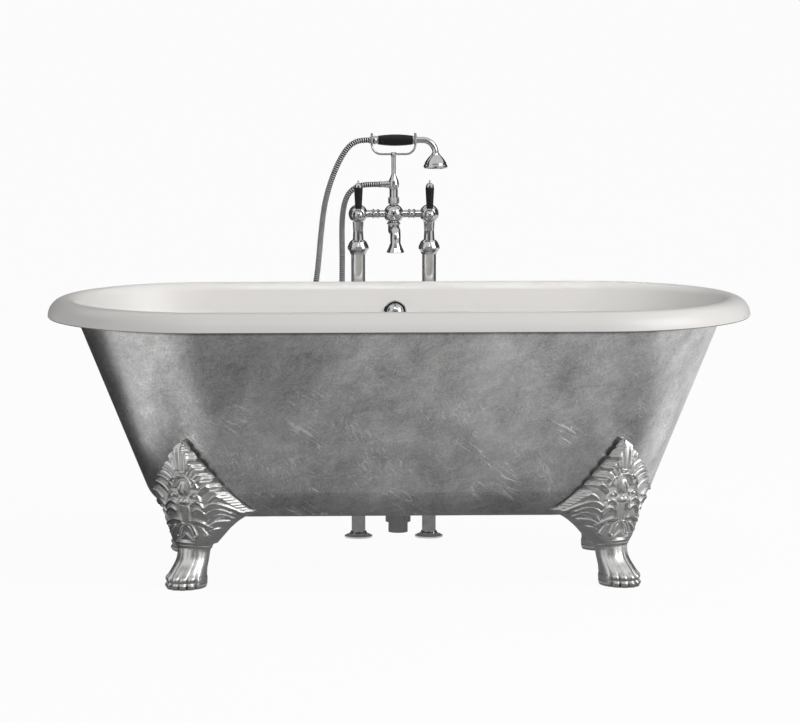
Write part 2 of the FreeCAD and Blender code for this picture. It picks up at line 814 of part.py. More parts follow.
def feet():
    plate = leaf_layer("foot_plate", d.plate_thickness, ONE, d.collar_height)
    leaf_base = d.collar_height + (d.wing_height - d.collar_height) * LEAF_BASE_SHARE
    leaf = leaf_layer("foot_leaf", d.leaf_thickness, sized(LEAF_SCALE_SHARE), leaf_base)
    casting = doc.addObject("Part::MultiFuse", "foot_casting")
    casting.Shapes = [plate, leaf, *foot_leg()]
    top = d.foot_height + d.overrun * 2
    clearance = wall_block("foot_clearance", d.collar_height - d.overrun, top, -d.seat_gap)
    place(clearance, ZERO, tub_y, ZERO)
    seated = minus("foot_seated", casting, clearance)
    foot = doc.addObject("Part::Fuse", "foot_front_left")
    foot.Base = seated
    foot.Tool = foot_tongue()
    foot.Label = "foot_front_left"
    nodes.append(foot)
    for label, source, normal in (
        ("foot_front_right", foot, Vector(1, 0, 0)),
        ("foot_rear_left", foot, Vector(0, 1, 0)),
    ):
        mirrored_foot(label, source, normal)
    mirrored_foot("foot_rear_right", nodes[-1], Vector(1, 0, 0))
    for name, x, y in foot_spots(d.bolt_reach):
        head = d.bolt_head_height
        points = [(ZERO, ZERO), (d.bolt_head_radius, ZERO), (d.bolt_head_radius, head),
                  (d.bolt_radius - d.running_gap, head),
                  (d.bolt_radius - d.running_gap, head + d.tongue_thickness + d.lug_height - d.seat_gap),
                  (ZERO, head + d.tongue_thickness + d.lug_height - d.seat_gap)]
        turned(f"foot_bolt_{name}", points, x, tub_y + y, lug_bottom - d.tongue_thickness - head)


def mirrored_foot(label, source, normal):
    foot = doc.addObject("Part::Mirroring", label)
    foot.Source = source
    foot.Normal = normal
    foot.Base = Vector(0, tub_y.value, 0)
    bind(foot, "Base.y", tub_y)
    foot.Label = label
    nodes.append(foot)


def overflow():
    seat_y, tilt = overflow_seat()
    face = (d.iron_wall + d.enamel) * cosine(tilt)
    turn = Rotation(Vector(1, 0, 0), QUARTER_TURN - tilt.value)

    def fit(body):
        place(body, ZERO, tub_y + seat_y, overflow_height, turn)
        bind(body, "Placement.Rotation.Angle", sized(QUARTER_TURN) - tilt)

    inner_wall = d.overflow_cup_radius - d.overflow_cup_wall
    back = -d.overflow_cup_depth
    tail_end = back + d.overflow_cup_wall + d.overflow_plate
    front = face + d.overflow_plate
    body = new_body("overflow_flange")
    revolve(body, "overflow_flange_turning", [
        (d.overflow_bore, tail_end), (d.overflow_tail, tail_end), (d.overflow_tail, face),
        (d.overflow_radius, face), (d.overflow_radius, face + d.overflow_plate / 2),
        (d.overflow_radius - d.overflow_plate / 2, front), (d.overflow_bore, front)])
    fit(body)
    body = new_body("overflow_body")
    hole = d.spindle_radius + d.running_gap
    revolve(body, "overflow_cup", [
        (hole, back), (d.overflow_cup_radius, back), (d.overflow_cup_radius, ZERO), (inner_wall, ZERO),
        (inner_wall, back + d.overflow_cup_wall), (hole, back + d.overflow_cup_wall)])
    stub_axis = back / 2
    rod(body, "overflow_stub", "Additive", d.overflow_pipe_radius, d.overflow_stub - inner_wall,
        ZERO, -inner_wall, stub_axis, FRONT)
    fit(body)
    body = new_body("overflow_knob")
    knob_back = front + d.knob_standoff
    knob_front = knob_back + d.knob_depth
    dome = (d.knob_radius * d.knob_radius + d.knob_depth * d.knob_depth) / (d.knob_depth * 2)
    revolve(body, "overflow_knob_turning", [
        (ZERO, back), (d.spindle_radius, back), (d.spindle_radius, knob_back),
        (d.knob_radius, knob_back, dome), (ZERO, knob_front)])
    fit(body)
    overflow_pipe(seat_y, tilt, stub_axis)


def overflow_pipe(seat_y, tilt, stub_axis):
    """Pipe down the outside of the back wall and in to the waste's side arm."""
    body = new_body("overflow_pipe")
    level = d.belly_height - d.waste_arm_drop
    end_y = d.waste_setback + d.waste_arm_reach
    top_y = seat_y - stub_axis * cosine(tilt) - d.overflow_stub * sine(tilt)
    top_z = overflow_height + stub_axis * sine(tilt) - d.overflow_stub * cosine(tilt)
    corner_y = top_y - (top_z - level) * tangent(tilt)
    setback = d.overflow_bend * tangent((sized(QUARTER_TURN) - tilt) / 2)
    path = sketch_on(body, "overflow_path", "YZ_Plane")
    draw(path, [(end_y, level), (corner_y - setback, level, d.overflow_bend),
                (corner_y + setback * sine(tilt), level + setback * cosine(tilt)), (top_y, top_z)], False)
    section = sketch_on(body, "overflow_section", "XZ_Plane", -end_y)
    circle(section, d.overflow_pipe_radius, ZERO, level)
    circle(section, d.overflow_pipe_radius - d.overflow_pipe_wall, ZERO, level)
    pipe(body, "overflow_bent_pipe", section, path)
    place(body, ZERO, tub_y, ZERO)


def waste():
    x, y = ZERO, tub_y + d.waste_setback
    top = floor_top + d.waste_flange_height
    tail = d.belly_height - d.waste_tail_depth
    mouth = d.waste_tail_radius
    plug_gap = d.seat_gap
    turned("waste_flange", [
        (d.waste_bore, tail), (d.waste_tail_radius, tail), (d.waste_tail_radius, floor_top),
        (d.waste_flange_radius, floor_top), (d.waste_flange_radius - d.waste_flange_height, top),
        (mouth, top), (d.waste_bore, top - d.plug_height)], x, y, ZERO)
    under = d.belly_height - d.gasket_thickness
    gap = d.waste_tail_radius + d.running_gap
    turned("waste_gasket", [
        (gap, under), (d.waste_body_radius, under), (d.waste_body_radius, d.belly_height),
        (gap, d.belly_height)], x, y, ZERO)
    body = new_body("waste_body")
    low = d.belly_height - d.waste_body_drop
    revolve(body, "waste_body_turning", [
        (d.waste_bore, low - d.waste_outlet_length), (d.waste_outlet_radius, low - d.waste_outlet_length),
        (d.waste_outlet_radius, low), (d.waste_body_radius, low), (d.waste_body_radius, under), (gap, under),
        (gap, tail), (d.waste_bore, tail)])
    axis = d.belly_height - d.waste_arm_drop
    arm = d.overflow_pipe_radius + d.overflow_pipe_wall
    reach = d.waste_arm_reach - d.waste_outlet_radius
    rod(body, "waste_arm", "Additive", arm, reach, ZERO, d.waste_arm_reach, axis, FRONT)
    bridge = d.belly_height - d.bridge_drop - d.bridge_height
    sketch = sketch_on(body, "bridge_outline", "XY_Plane", bridge)
    half = d.bridge_half_width
    across = far_side(d.waste_outlet_radius, half)
    draw(sketch, [(-across, -half), (across, -half), (across, half), (-across, half)])
    circle(sketch, d.plug_stem + d.running_gap)
    pad(body, "bridge", sketch, d.bridge_height)
    place(body, x, y, ZERO)
    foot = bridge - d.plug_tail
    base = top - d.plug_height
    turned("waste_plug", [
        (ZERO, foot), (d.plug_stem, foot), (d.plug_stem, base), (d.waste_bore - plug_gap, base),
        (mouth - plug_gap, top), (mouth * PLUG_CROWN_SHARE, top + d.waste_flange_height),
        (ZERO, top + d.waste_flange_height)], x, y, ZERO)


def standpipes():
    """Two supply pipes with floor flanges, union nuts, valve bodies and levers."""
    for side, sign in (("hot", -1), ("cold", 1)):
        x = d.pipe_spacing / 2 * sign
        turned(f"standpipe_{side}", [(d.pipe_bore, ZERO), (d.pipe_radius, ZERO), (d.pipe_radius, pipe_top),
                                     (d.pipe_bore, pipe_top)], x, tap_y, ZERO)
        floor_flange(side, x)
        bore = d.pipe_radius + d.running_gap
        step = d.union_lap + d.tail_height
        outer = shaped(UNION_SHARES, d.union_radius, d.union_height)
        leg = d.leg_radius + d.running_gap
        turned(f"union_nut_{side}", [(bore, ZERO), *outer, (leg, d.union_height), (leg, step), (bore, step)],
               x, tap_y, union_base)
        valve_body(side, x, sign)
        lever(side, x)
        start = d.mixer_radius + d.ball_proud
        length = d.pipe_spacing / 2 - d.valve_radius - d.ball_proud - start
        turned(f"cross_bar_{side}", solid_outline(BAR_SHARES, d.bar_bead, length), start * sign, tap_y,
               valve_height, RIGHT if sign > 0 else LEFT)


def floor_flange(side, x):
    body = new_body(f"floor_flange_{side}")
    bore = d.pipe_radius + d.running_gap
    outline = ring_outline(FLOOR_FLANGE_SHARES, bore, d.floor_flange_radius, d.floor_flange_height)
    revolve(body, f"floor_flange_{side}_turning", outline)
    sketch = sketch_on(body, f"floor_screw_{side}", "XY_Plane")
    circle(sketch, d.screw_hole, ZERO, d.screw_circle / 2)
    hole = pad(body, f"floor_hole_{side}", sketch, d.floor_flange_height, "Pocket", True)
    spin_pattern(body, f"floor_holes_{side}", hole, SCREWS)
    place(body, x, tap_y, ZERO)


def valve_body(side, x, sign):
    body = new_body(f"valve_body_{side}")
    centre = valve_height - pipe_top
    meets = centre - far_side(d.valve_radius, d.leg_radius)
    nut_top = d.union_height - d.union_lap
    revolve(body, f"valve_{side}_turning", [
        (ZERO, ZERO), (d.pipe_radius, ZERO), (d.pipe_radius, d.tail_height), (d.leg_radius, d.tail_height),
        (d.leg_radius, nut_top), (d.leg_waist, (nut_top + meets) / 2), (d.leg_radius, meets, d.valve_radius),
        (d.valve_radius, centre, d.valve_radius), (ZERO, centre + d.valve_radius)])
    proud = d.valve_radius + d.ball_proud
    rod(body, f"valve_{side}_branch", "Additive", d.bar_radius, proud, ZERO, ZERO, centre,
        LEFT if sign > 0 else RIGHT)
    rod(body, f"valve_{side}_bonnet", "Additive", d.bonnet_radius, proud, ZERO, ZERO, centre, FRONT)
    depth = d.lever_shaft_length + d.seat_gap
    rod(body, f"valve_{side}_socket", "Subtractive", d.lever_shaft + d.running_gap, depth + d.overrun,
        ZERO, depth - proud, centre, FRONT)
    place(body, x, tap_y, pipe_top)


def lever(side, x):
    face_y = tap_y - d.valve_radius - d.ball_proud
    meets = d.seat_gap + d.lever_collar_depth
    centre = meets + far_side(d.lever_hub, d.lever_collar)
    body = new_body(f"lever_hub_{side}")
    revolve(body, f"lever_hub_{side}_turning", [
        (ZERO, -d.lever_shaft_length), (d.lever_shaft, -d.lever_shaft_length), (d.lever_shaft, d.seat_gap),
        (d.lever_collar, d.seat_gap), (d.lever_collar, meets, d.lever_hub),
        (d.lever_hub, centre, d.lever_hub), (ZERO, centre + d.lever_hub)])
    rod(body, f"lever_stem_{side}", "Additive", d.lever_stem, d.lever_rise, ZERO, ZERO, centre,
        Rotation(Vector(1, 0, 0), -QUARTER_TURN))
    place(body, x, face_y, valve_height, FRONT)
    grip_y = face_y - centre
    base = valve_height + d.lever_rise
    turned(f"lever_grip_{side}", solid_outline(GRIP_SHARES, d.grip_radius, d.grip_length), x, grip_y, base)
    turned(f"lever_cap_{side}", solid_outline(CAP_SHARES, d.cap_radius, d.cap_height), x, grip_y,
           base + d.grip_length)


def mixer():
    """Centre ball with its side branches, swivel ring and swivel spout."""
    body = new_body("mixer_body")
    socket = d.spout_spigot + d.running_gap
    low = -d.mixer_drop
    ball = d.mixer_radius
    roof = low + d.mixer_socket
    revolve(body, "mixer_turning", [
        (socket, low), (d.mixer_neck, low), (d.mixer_neck, -far_side(ball, d.mixer_neck), ball),
        (ball, ZERO, ball), (d.riser_radius, far_side(ball, d.riser_radius)),
        (d.riser_radius, d.mixer_top), (ZERO, d.mixer_top), (ZERO, roof), (socket, roof)])
    proud = d.mixer_radius + d.ball_proud
    length = proud - d.spout_spigot
    for name, start, turn in (("left", -d.spout_spigot, LEFT), ("right", d.spout_spigot, RIGHT)):
        rod(body, f"mixer_branch_{name}", "Additive", d.bar_radius, length, start, ZERO, ZERO, turn)
    place(body, ZERO, tap_y, valve_height)
    ring = new_body("swivel_ring")
    outline = ring_outline(SWIVEL_RING_SHARES, d.mixer_neck + d.running_gap, d.swivel_ring_radius,
                           d.swivel_ring_height)
    revolve(ring, "swivel_ring_turning", outline)
    flutes(ring, "swivel_ring", d.swivel_ring_radius, d.swivel_ring_height)
    place(ring, ZERO, tap_y, valve_height - d.mixer_drop)
    spout()


def flutes(body, name, radius, height):
    """Finger flutes round a turned ring."""
    sketch = sketch_on(body, name + "_flute", "XY_Plane")
    circle(sketch, d.flute_radius, ZERO, radius + d.flute_radius / 2)
    cut = pad(body, name + "_flute_cut", sketch, height, "Pocket", True)
    spin_pattern(body, name + "_flutes", cut, FLUTES)


def spout():
    body = new_body("spout")
    shoulder = d.spout_axis_drop - d.mixer_drop - d.seat_gap
    revolve(body, "spout_turret_turning", [
        (ZERO, -d.spout_turret, d.spout_turret), (d.spout_turret, ZERO), (d.spout_turret, shoulder),
        (d.spout_spigot, shoulder), (d.spout_spigot, shoulder + d.spout_spigot_length),
        (ZERO, shoulder + d.spout_spigot_length)])
    path = sketch_on(body, "spout_path", "YZ_Plane")
    knee = d.spout_reach - d.spout_bend - d.spout_bend * sine(d.spout_slope)
    sink = d.swivel_ring_radius * tangent(d.spout_slope) / 2
    crest = knee * tangent(d.spout_slope) - sink
    fall = crest - d.spout_bend * cosine(d.spout_slope)
    draw(path, [(-d.spout_reach, -d.spout_drop), (-d.spout_reach, fall, -d.spout_bend), (-knee, crest),
                (ZERO, -sink)], False)
    section = sketch_on(body, "spout_section", "XY_Plane", -d.spout_drop)
    circle(section, d.spout_radius, ZERO, -d.spout_reach)
    pipe(body, "spout_tube", section, path)
    bore = sketch_on(body, "spout_bore_section", "XY_Plane", -d.spout_drop)
    circle(bore, d.spout_bore, ZERO, -d.spout_reach)
    hollow = body.newObject("PartDesign::SubtractivePipe", "spout_hollow")
    hollow.Profile = bore
    hollow.Spine = (path, [f"Edge{number + 1}" for number in range(path.GeometryCount)])
    axis = valve_height - d.spout_axis_drop
    place(body, ZERO, tap_y, axis)
    flare = d.mouth_radius - d.spout_radius
    turned("spout_mouth", [
        (d.mouth_radius - d.mouth_lip, ZERO), (d.mouth_radius, ZERO), (d.mouth_radius, d.mouth_lip),
        (d.spout_radius + flare / 2, d.mouth_height / 2), (d.spout_radius, d.mouth_height),
        (d.spout_bore, d.mouth_height), (d.spout_bore + flare / 2, d.mouth_height / 2)],
        ZERO, tap_y - d.spout_reach, axis - d.spout_drop - d.mouth_height)


def riser():
    """Riser with its diverter ring, hose outlet and cradle rod, one on another."""
    base = valve_height + d.mixer_top
    turned("riser_column", [
        (ZERO, ZERO), (d.riser_stem, ZERO), (d.riser_stem, d.diverter_height),
        (d.riser_radius, d.diverter_height), (d.riser_radius, d.riser_height), (ZERO, d.riser_height)],
        ZERO, tap_y, base)
    ring = new_body("diverter_ring")
    height = d.diverter_height - d.seat_gap * 2
    revolve(ring, "diverter_turning",
            ring_outline(DIVERTER_SHARES, d.riser_stem + d.running_gap, d.diverter_radius, height))
    flutes(ring, "diverter", d.diverter_radius, height)
    place(ring, ZERO, tap_y, base + d.seat_gap)
    body = new_body("hose_outlet")
    revolve(body, "outlet_turning", solid_outline(ONION_SHARES, d.onion_radius, d.onion_height))
    horn = body.newObject("PartDesign::AdditiveCone", "outlet_horn")
    for prop, size in (("Radius1", d.horn_root), ("Radius2", d.horn_tip), ("Height", d.horn_length)):
        setattr(horn, prop, size.value)
        bind(horn, prop, size)
    place(horn, ZERO, ZERO, d.horn_rise, LEFT)
    base = base + d.riser_height
    place(body, ZERO, tap_y, base)
    turned("hose_nut_outlet", solid_outline(HOSE_NUT_SHARES, d.hose_nut_radius, d.hose_nut_length),
           -d.horn_length, tap_y, base + d.horn_rise, LEFT)
    base = base + d.onion_height
    turned("cradle_rod", solid_outline(ROD_SHARES, d.rod_radius, d.rod_height), ZERO, tap_y, base)
    cradle(base + d.rod_height)


def cradle(base):
    """Wire cradle: a bow on a boss, with an open fork at each end for the handset."""
    body = new_body("cradle")
    wire = d.cradle_wire
    revolve(body, "cradle_boss", [
        (ZERO, ZERO), (d.rod_radius, ZERO), (d.cradle_boss_radius, d.cradle_boss_height / 2),
        (d.rod_radius, d.cradle_boss_height), (ZERO, d.cradle_boss_height)])
    low = d.cradle_boss_height / 2
    fork = d.ferrule_seat + d.seat_gap + wire
    saddle = d.handset_rise - fork
    bend = saddle - low
    for name, sign in (("left", -1), ("right", 1)):
        end = d.cradle_span * sign
        path = sketch_on(body, f"bow_path_{name}", "XZ_Plane")
        turn = bend * sign
        draw(path, [(ZERO, low), (end - turn, low, turn), (end, saddle)], False)
        section = sketch_on(body, f"bow_section_{name}", "YZ_Plane")
        circle(section, wire, ZERO, low)
        pipe(body, f"bow_{name}", section, path)
        path = sketch_on(body, f"fork_path_{name}", "YZ_Plane", end)
        axis = d.handset_rise
        draw(path, [(-fork, axis + d.prong_rise), (-fork, axis, fork), (ZERO, saddle, fork), (fork, axis),
                    (fork, axis + d.prong_rise)], False)
        section = sketch_on(body, f"fork_section_{name}", "XY_Plane", axis + d.prong_rise)
        circle(section, wire, end, -fork)
        pipe(body, f"fork_{name}", section, path)
    place(body, ZERO, tap_y, base)


def handset():
    """Telephone handset that lies in the cradle: tail, handle, neck and rose."""
    z = handset_height
    length = d.handle_left + d.handle_right
    swell = d.handle_radius - d.handle_end
    barrel = (length * length / 4 + swell * swell) / (swell * 2)
    turned("handset_handle", [
        (ZERO, ZERO), (d.handle_end, ZERO, barrel), (d.handle_end, length), (ZERO, length)],
        -d.handle_left, tap_y, z, RIGHT)
    outer = shaped(FERRULE_LEFT_SHARES, d.ferrule_radius, d.ferrule_left_length)
    seat = d.cradle_span - d.handle_left - d.cradle_wire - d.seat_gap
    turned("handset_ferrule_left", [
        (ZERO, ZERO), *outer, (d.ferrule_seat, seat), (d.ferrule_seat, d.ferrule_left_length),
        (ZERO, d.ferrule_left_length)], -d.handle_left, tap_y, z, LEFT)
    outer = shaped(FERRULE_RIGHT_SHARES, d.ferrule_radius, d.ferrule_right_length)
    seat = d.cradle_span - d.handle_right - d.cradle_wire - d.seat_gap
    turned("handset_ferrule_right", [
        (ZERO, ZERO), *outer, (d.ferrule_seat, seat), (d.ferrule_seat, d.ferrule_right_length),
        (ZERO, d.ferrule_right_length)], d.handle_right, tap_y, z, RIGHT)
    turned("hose_nut_handset", solid_outline(HOSE_NUT_SHARES, d.hose_nut_radius, d.hose_nut_length),
           -(d.handle_left + d.ferrule_left_length), tap_y, z, LEFT)
    neck_start = d.handle_right + d.ferrule_right_length
    body = new_body("handset_neck")
    path = sketch_on(body, "neck_path", "XZ_Plane")
    draw(path, [(neck_start, ZERO), (d.neck_reach - d.neck_bend, ZERO, -d.neck_bend),
                (d.neck_reach, -d.neck_bend)], False)
    section = sketch_on(body, "neck_section", "YZ_Plane", neck_start)
    circle(section, d.neck_radius)
    circle(section, d.neck_bore)
    pipe(body, "neck_tube", section, path)
    place(body, ZERO, tap_y, z)
    bottom = z - d.neck_bend - d.rose_height
    face = d.rose_radius * ROSE_FACE_SHARE
    turned("shower_rose", [
        (ZERO, d.rose_recess), (face, d.rose_recess), (face, ZERO),
        *shaped(ROSE_SHARES, d.rose_radius, d.rose_height), (ZERO, d.rose_height)],
        d.neck_reach, tap_y, bottom)
    disc = face - d.running_gap
    turned("rose_face", [(ZERO, ZERO), (disc, ZERO), (disc, d.rose_recess), (ZERO, d.rose_recess)],
           d.neck_reach, tap_y, bottom)


def hose_path(points):
    """Straight runs joined by the largest arcs that they allow, as edges in order, with the arcs' radii."""
    edges, radii = [], []
    here = points[0]
    for before, corner, after in zip(points, points[1:], points[2:]):
        back, ahead = (before - corner), (after - corner)
        run = min(back.Length, ahead.Length)
        back, ahead = back.normalize(), ahead.normalize()
        turn = math.pi - back.getAngle(ahead)
        setback = run * BEND_SHARE
        radius = setback / math.tan(turn / 2)
        start, end = corner + back * setback, corner + ahead * setback
        inward = (back + ahead).normalize()
        middle = corner + inward * (radius / math.cos(turn / 2) - radius)
        edges.append(Part.LineSegment(here, start).toShape())
        edges.append(Part.Arc(start, middle, end).toShape())
        radii.append(radius)
        here = end
    edges.append(Part.LineSegment(here, points[-1]).toShape())
    return edges, radii


def hose_station(edges, distance):
    """Point and direction at a distance along the path."""
    for edge in edges:
        if distance <= edge.Length or edge is edges[-1]:
            spot = edge.getParameterByLength(min(distance, edge.Length))
            return edge.valueAt(spot), edge.tangentAt(spot)
        distance -= edge.Length


def hose_ring(edges, distance, radius):
    spot, way = hose_station(edges, distance)
    circle_frame = Part.Circle()
    circle_frame.Axis = way
    circle_frame.Center = spot
    circle_frame.XAxis = Vector(0, 1, 0)
    circle_frame.Radius = radius
    return Part.Wire([circle_frame.toShape()])


def shower_hose():
    """Ribbed hose with its bore, hanging in a loop behind the bath."""
    y = tap_y.value
    points = [Vector(x, y, z) for x, z in HOSE_POINTS]
    edges, radii = hose_path(points)
    length = sum(edge.Length for edge in edges)
    plain = d.hose_radius.value * 2
    pitch = (length - plain * 2) / HOSE_RIBS
    stations = [(0, d.hose_valley.value)]
    for rib in range(HOSE_RIBS):
        for number, share in enumerate(RIB_SHARES):
            crest = number in (1, 2)
            radius = d.hose_radius.value if crest else d.hose_valley.value
            stations.append((plain + pitch * (rib + share), radius))
    stations.append((length - plain, d.hose_valley.value))
    stations.append((length, d.hose_valley.value))
    outer = Part.makeLoft([hose_ring(edges, spot, radius) for spot, radius in stations], True, True)
    bore = Part.Wire(edges).makePipeShell([hose_ring(edges, 0, d.hose_bore.value)], True, False)
    hose = doc.addObject("Part::Feature", "shower_hose")
    hose.Shape = outer.cut(bore)
    hose.Label = "shower_hose"
    nodes.append(hose)
    middle = (d.hose_radius.value + d.hose_valley.value) / 2
    expected = math.pi * (middle ** 2 - d.hose_bore.value ** 2) * length
    print(f"hose length {length:.1f} mm, least bend radius {min(radii):.1f} mm")
    print("hose bend radii", [round(radius) for radius in radii])
    print(f"hose volume {hose.Shape.Volume:.0f} of about {expected:.0f} cubic mm")
    samples = [hose_station(edges, length * number / HOSE_SAMPLES)[0] for number in range(HOSE_SAMPLES + 1)]
    apart = [first.distanceToPoint(second) for number, first in enumerate(samples)
             for second in samples[number + HOSE_SAMPLE_STEP:]]
    print(f"hose least gap to itself {min(apart) - d.hose_radius.value * 2:.1f} mm")


def check_and_write():
    doc.recompute()
    for thing in doc.Objects:
        if "Invalid" in thing.State or "Error" in thing.State:
            raise RuntimeError(f"{thing.Name} failed: {thing.State}")
    for node in nodes:
        if node.Shape.isNull() or not node.Shape.isValid():
            raise RuntimeError(f"{node.Label} has no valid shape")
    os.makedirs("parts", exist_ok=True)
    for node in nodes:
        node.Shape.exportStep(f"parts/{node.Label}.step")
    print(f"{len(nodes)} sub-parts written")


enamel_lining(tub_shell())
feet()
overflow()
waste()
standpipes()
mixer()
riser()
handset()
shower_hose()
check_and_write()
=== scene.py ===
import json
import math

import bpy
import numpy as np
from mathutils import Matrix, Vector


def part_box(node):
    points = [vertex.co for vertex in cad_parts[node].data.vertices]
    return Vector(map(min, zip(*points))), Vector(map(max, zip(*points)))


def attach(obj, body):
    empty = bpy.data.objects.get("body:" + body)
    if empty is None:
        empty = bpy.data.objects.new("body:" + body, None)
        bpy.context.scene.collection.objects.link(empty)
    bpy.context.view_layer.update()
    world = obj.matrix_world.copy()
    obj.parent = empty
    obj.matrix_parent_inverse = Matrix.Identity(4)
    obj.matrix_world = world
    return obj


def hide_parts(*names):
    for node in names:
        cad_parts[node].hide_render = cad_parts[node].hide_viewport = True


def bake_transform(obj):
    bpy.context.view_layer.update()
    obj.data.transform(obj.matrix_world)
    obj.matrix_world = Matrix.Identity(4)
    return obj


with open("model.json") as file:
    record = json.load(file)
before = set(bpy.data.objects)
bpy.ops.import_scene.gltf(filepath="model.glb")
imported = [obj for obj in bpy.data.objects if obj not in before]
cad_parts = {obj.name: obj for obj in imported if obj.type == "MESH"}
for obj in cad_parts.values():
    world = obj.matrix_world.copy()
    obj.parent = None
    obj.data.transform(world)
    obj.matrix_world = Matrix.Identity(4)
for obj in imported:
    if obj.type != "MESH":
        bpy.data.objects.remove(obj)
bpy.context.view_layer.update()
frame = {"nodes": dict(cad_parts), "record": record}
NODE_SLOTS = {part["node"]: part["material_slot"] for part in frame["record"]["subparts"]}

MM = 0.001

# Depth of the bath's middle and of the tap set, in metres unless a name says millimetres
TUB_Y_MM = -40.5
TUB_Y = TUB_Y_MM * MM
TAP_Y = 0.3945

# Camera
CAMERA_TARGET = Vector((0.001, TUB_Y, 0.5055))
CAMERA_AZIMUTH = math.radians(-2.0)
CAMERA_ELEVATION = math.radians(7.1)
CAMERA_DISTANCE = 9.0
CAMERA_LENS = 166.86
CAMERA_FILM = 36.0
CAMERA_REACH = 4000


def sums(operation, swapped=False):
    """An operator of Wire that adds one Math node."""
    def work(self, other):
        pair = [other, self] if swapped else [self, other]
        return self.finish.node("ShaderNodeMath", {"operation": operation}, pair)
    return work


class Wire:
    """A shader socket that takes part in Python sums; each sum adds a Math node."""

    def __init__(self, finish, socket):
        self.finish = finish
        self.socket = socket

    __add__ = sums("ADD")
    __radd__ = sums("ADD", True)
    __sub__ = sums("SUBTRACT")
    __rsub__ = sums("SUBTRACT", True)
    __mul__ = sums("MULTIPLY")
    __rmul__ = sums("MULTIPLY", True)

    def __abs__(self):
        return self.finish.node("ShaderNodeMath", {"operation": "ABSOLUTE"}, [self])

    def between(self, low, high, start=0.0, end=1.0):
        """Smooth step from start, at low, to end, at high."""
        return self.finish.node(
            "ShaderNodeMapRange", {"interpolation_type": "SMOOTHSTEP"},
            {"Value": self, "From Min": low, "From Max": high, "To Min": start, "To Max": end})


class Finish:
    """The node tree of one material or of the world."""

    def __init__(self, owner):
        owner.use_nodes = True
        self.owner = owner
        self.tree = owner.node_tree
        self.tree.nodes.clear()

    def node(self, kind, settings=None, sockets=None, output=0):
        made = self.tree.nodes.new(kind)
        for name, value in (settings or {}).items():
            setattr(made, name, value)
        sockets = sockets or {}
        for key, value in sockets.items() if isinstance(sockets, dict) else enumerate(sockets):
            if isinstance(value, Wire):
                self.tree.links.new(value.socket, made.inputs[key])
            else:
                made.inputs[key].default_value = value
        return Wire(self, made.outputs[output]) if len(made.outputs) else made

    def seen(self):
        """One for rays from the eye and for what polished or clear surfaces show, else nought."""
        eye, gloss, through = (self.node("ShaderNodeLightPath", output=f"Is {kind} Ray")
                               for kind in ("Camera", "Glossy", "Transmission"))
        return self.node("ShaderNodeMath", {"operation": "MINIMUM"}, [eye + gloss + through, 1.0])

    def place(self, stretch=(1, 1, 1), tilt=0.0):
        """The object's own coordinates, tilted about the bath's depth and then stretched."""
        spot = self.node("ShaderNodeTexCoord", output="Object")
        tilted = self.node("ShaderNodeMapping", {}, {"Vector": spot, "Rotation": (0, tilt, 0)})
        return self.node("ShaderNodeMapping", {}, {"Vector": tilted, "Scale": stretch})

    def axis(self, name):
        return self.node("ShaderNodeSeparateXYZ", {}, {"Vector": self.place()}, name)

    def noise(self, stretch, detail=2.0, roughness=0.5, distortion=0.0, tilt=0.0):
        """Noise over the object's own place; a single number stretches all axes alike."""
        if not isinstance(stretch, tuple):
            stretch = (stretch,) * 3
        return self.node("ShaderNodeTexNoise", {}, {
            "Vector": self.place(stretch, tilt), "Scale": 1.0, "Detail": detail,
            "Roughness": roughness, "Distortion": distortion}, "Fac")

    def painted_shade(self):
        """The painted shade written on the piece: one in the depth of its carving."""
        return self.node("ShaderNodeAttribute", {"attribute_name": SHADE_ATTRIBUTE}, output="Fac")

    def colour(self, factor, first, second):
        return self.node("ShaderNodeMix", {"data_type": "RGBA"},
                         {0: factor, 6: opaque(first), 7: opaque(second)}, 2)

    def bump(self, height, strength, distance):
        return self.node("ShaderNodeBump", {}, {
            "Height": height, "Strength": strength, "Distance": distance})

    def show(self, shader):
        self.node("ShaderNodeOutputMaterial", {}, {"Surface": shader})
        return self.owner

    def surface(self, **sockets):
        named = {name.replace("_", " ").title().replace("Ior", "IOR"): value
                 for name, value in sockets.items()}
        return self.show(self.node("ShaderNodeBsdfPrincipled", {}, named))


def opaque(tint):
    return tint if isinstance(tint, Wire) else (*tint, 1.0)


def new_finish(name):
    return Finish(bpy.data.materials.new(name))


# Name of the attribute that holds each point's share of painted shade
SHADE_ATTRIBUTE = "painted_shade"
NOISE_MIDDLE = 0.5
BLACK = (0, 0, 0)

# Burnished iron. Its noises: stretch, detail, roughness, distortion and tilt
IRON_NOISES = {
    "clouds": ((3.4, 3.4, 4.2), 6.0, 0.62, 0.5, 0.6),
    "blots": ((11, 11, 13), 5.0, 0.66, 0.6, 0.3),
    "brushed": ((18, 18, 70), 3.0, 0.6, 1.6, 0.25),
    "crossed": ((80, 80, 24), 3.0, 0.6, 1.6, -0.45),
    "speckle": (260, 2.0, 0.6, 0.0, 0.0),
    "worn": ((6.5, 6.5, 8.0), 3.0, 0.6, 0.0, 0.0),
    "long_line": ((9, 9, 70), 1.0, 0.5, 0.3, -0.55),
    "fine_line": ((90, 90, 20), 1.0, 0.5, 0.3, 0.5),
}
# How far the noises move its tone and its roughness, and their share in its relief
IRON_TINT = (1.0, 1.0, 0.995)
IRON_TONE = 0.5
TONE_SWINGS = {"clouds": 0.66, "blots": 0.52, "brushed": 0.24, "crossed": 0.22, "speckle": 0.46}
IRON_ROUGHNESS = 0.33
ROUGHNESS_SWINGS = {"clouds": 0.12, "speckle": 0.2}
RELIEF_SHARE = 0.3
IRON_BUMP = (0.12, 0.002)
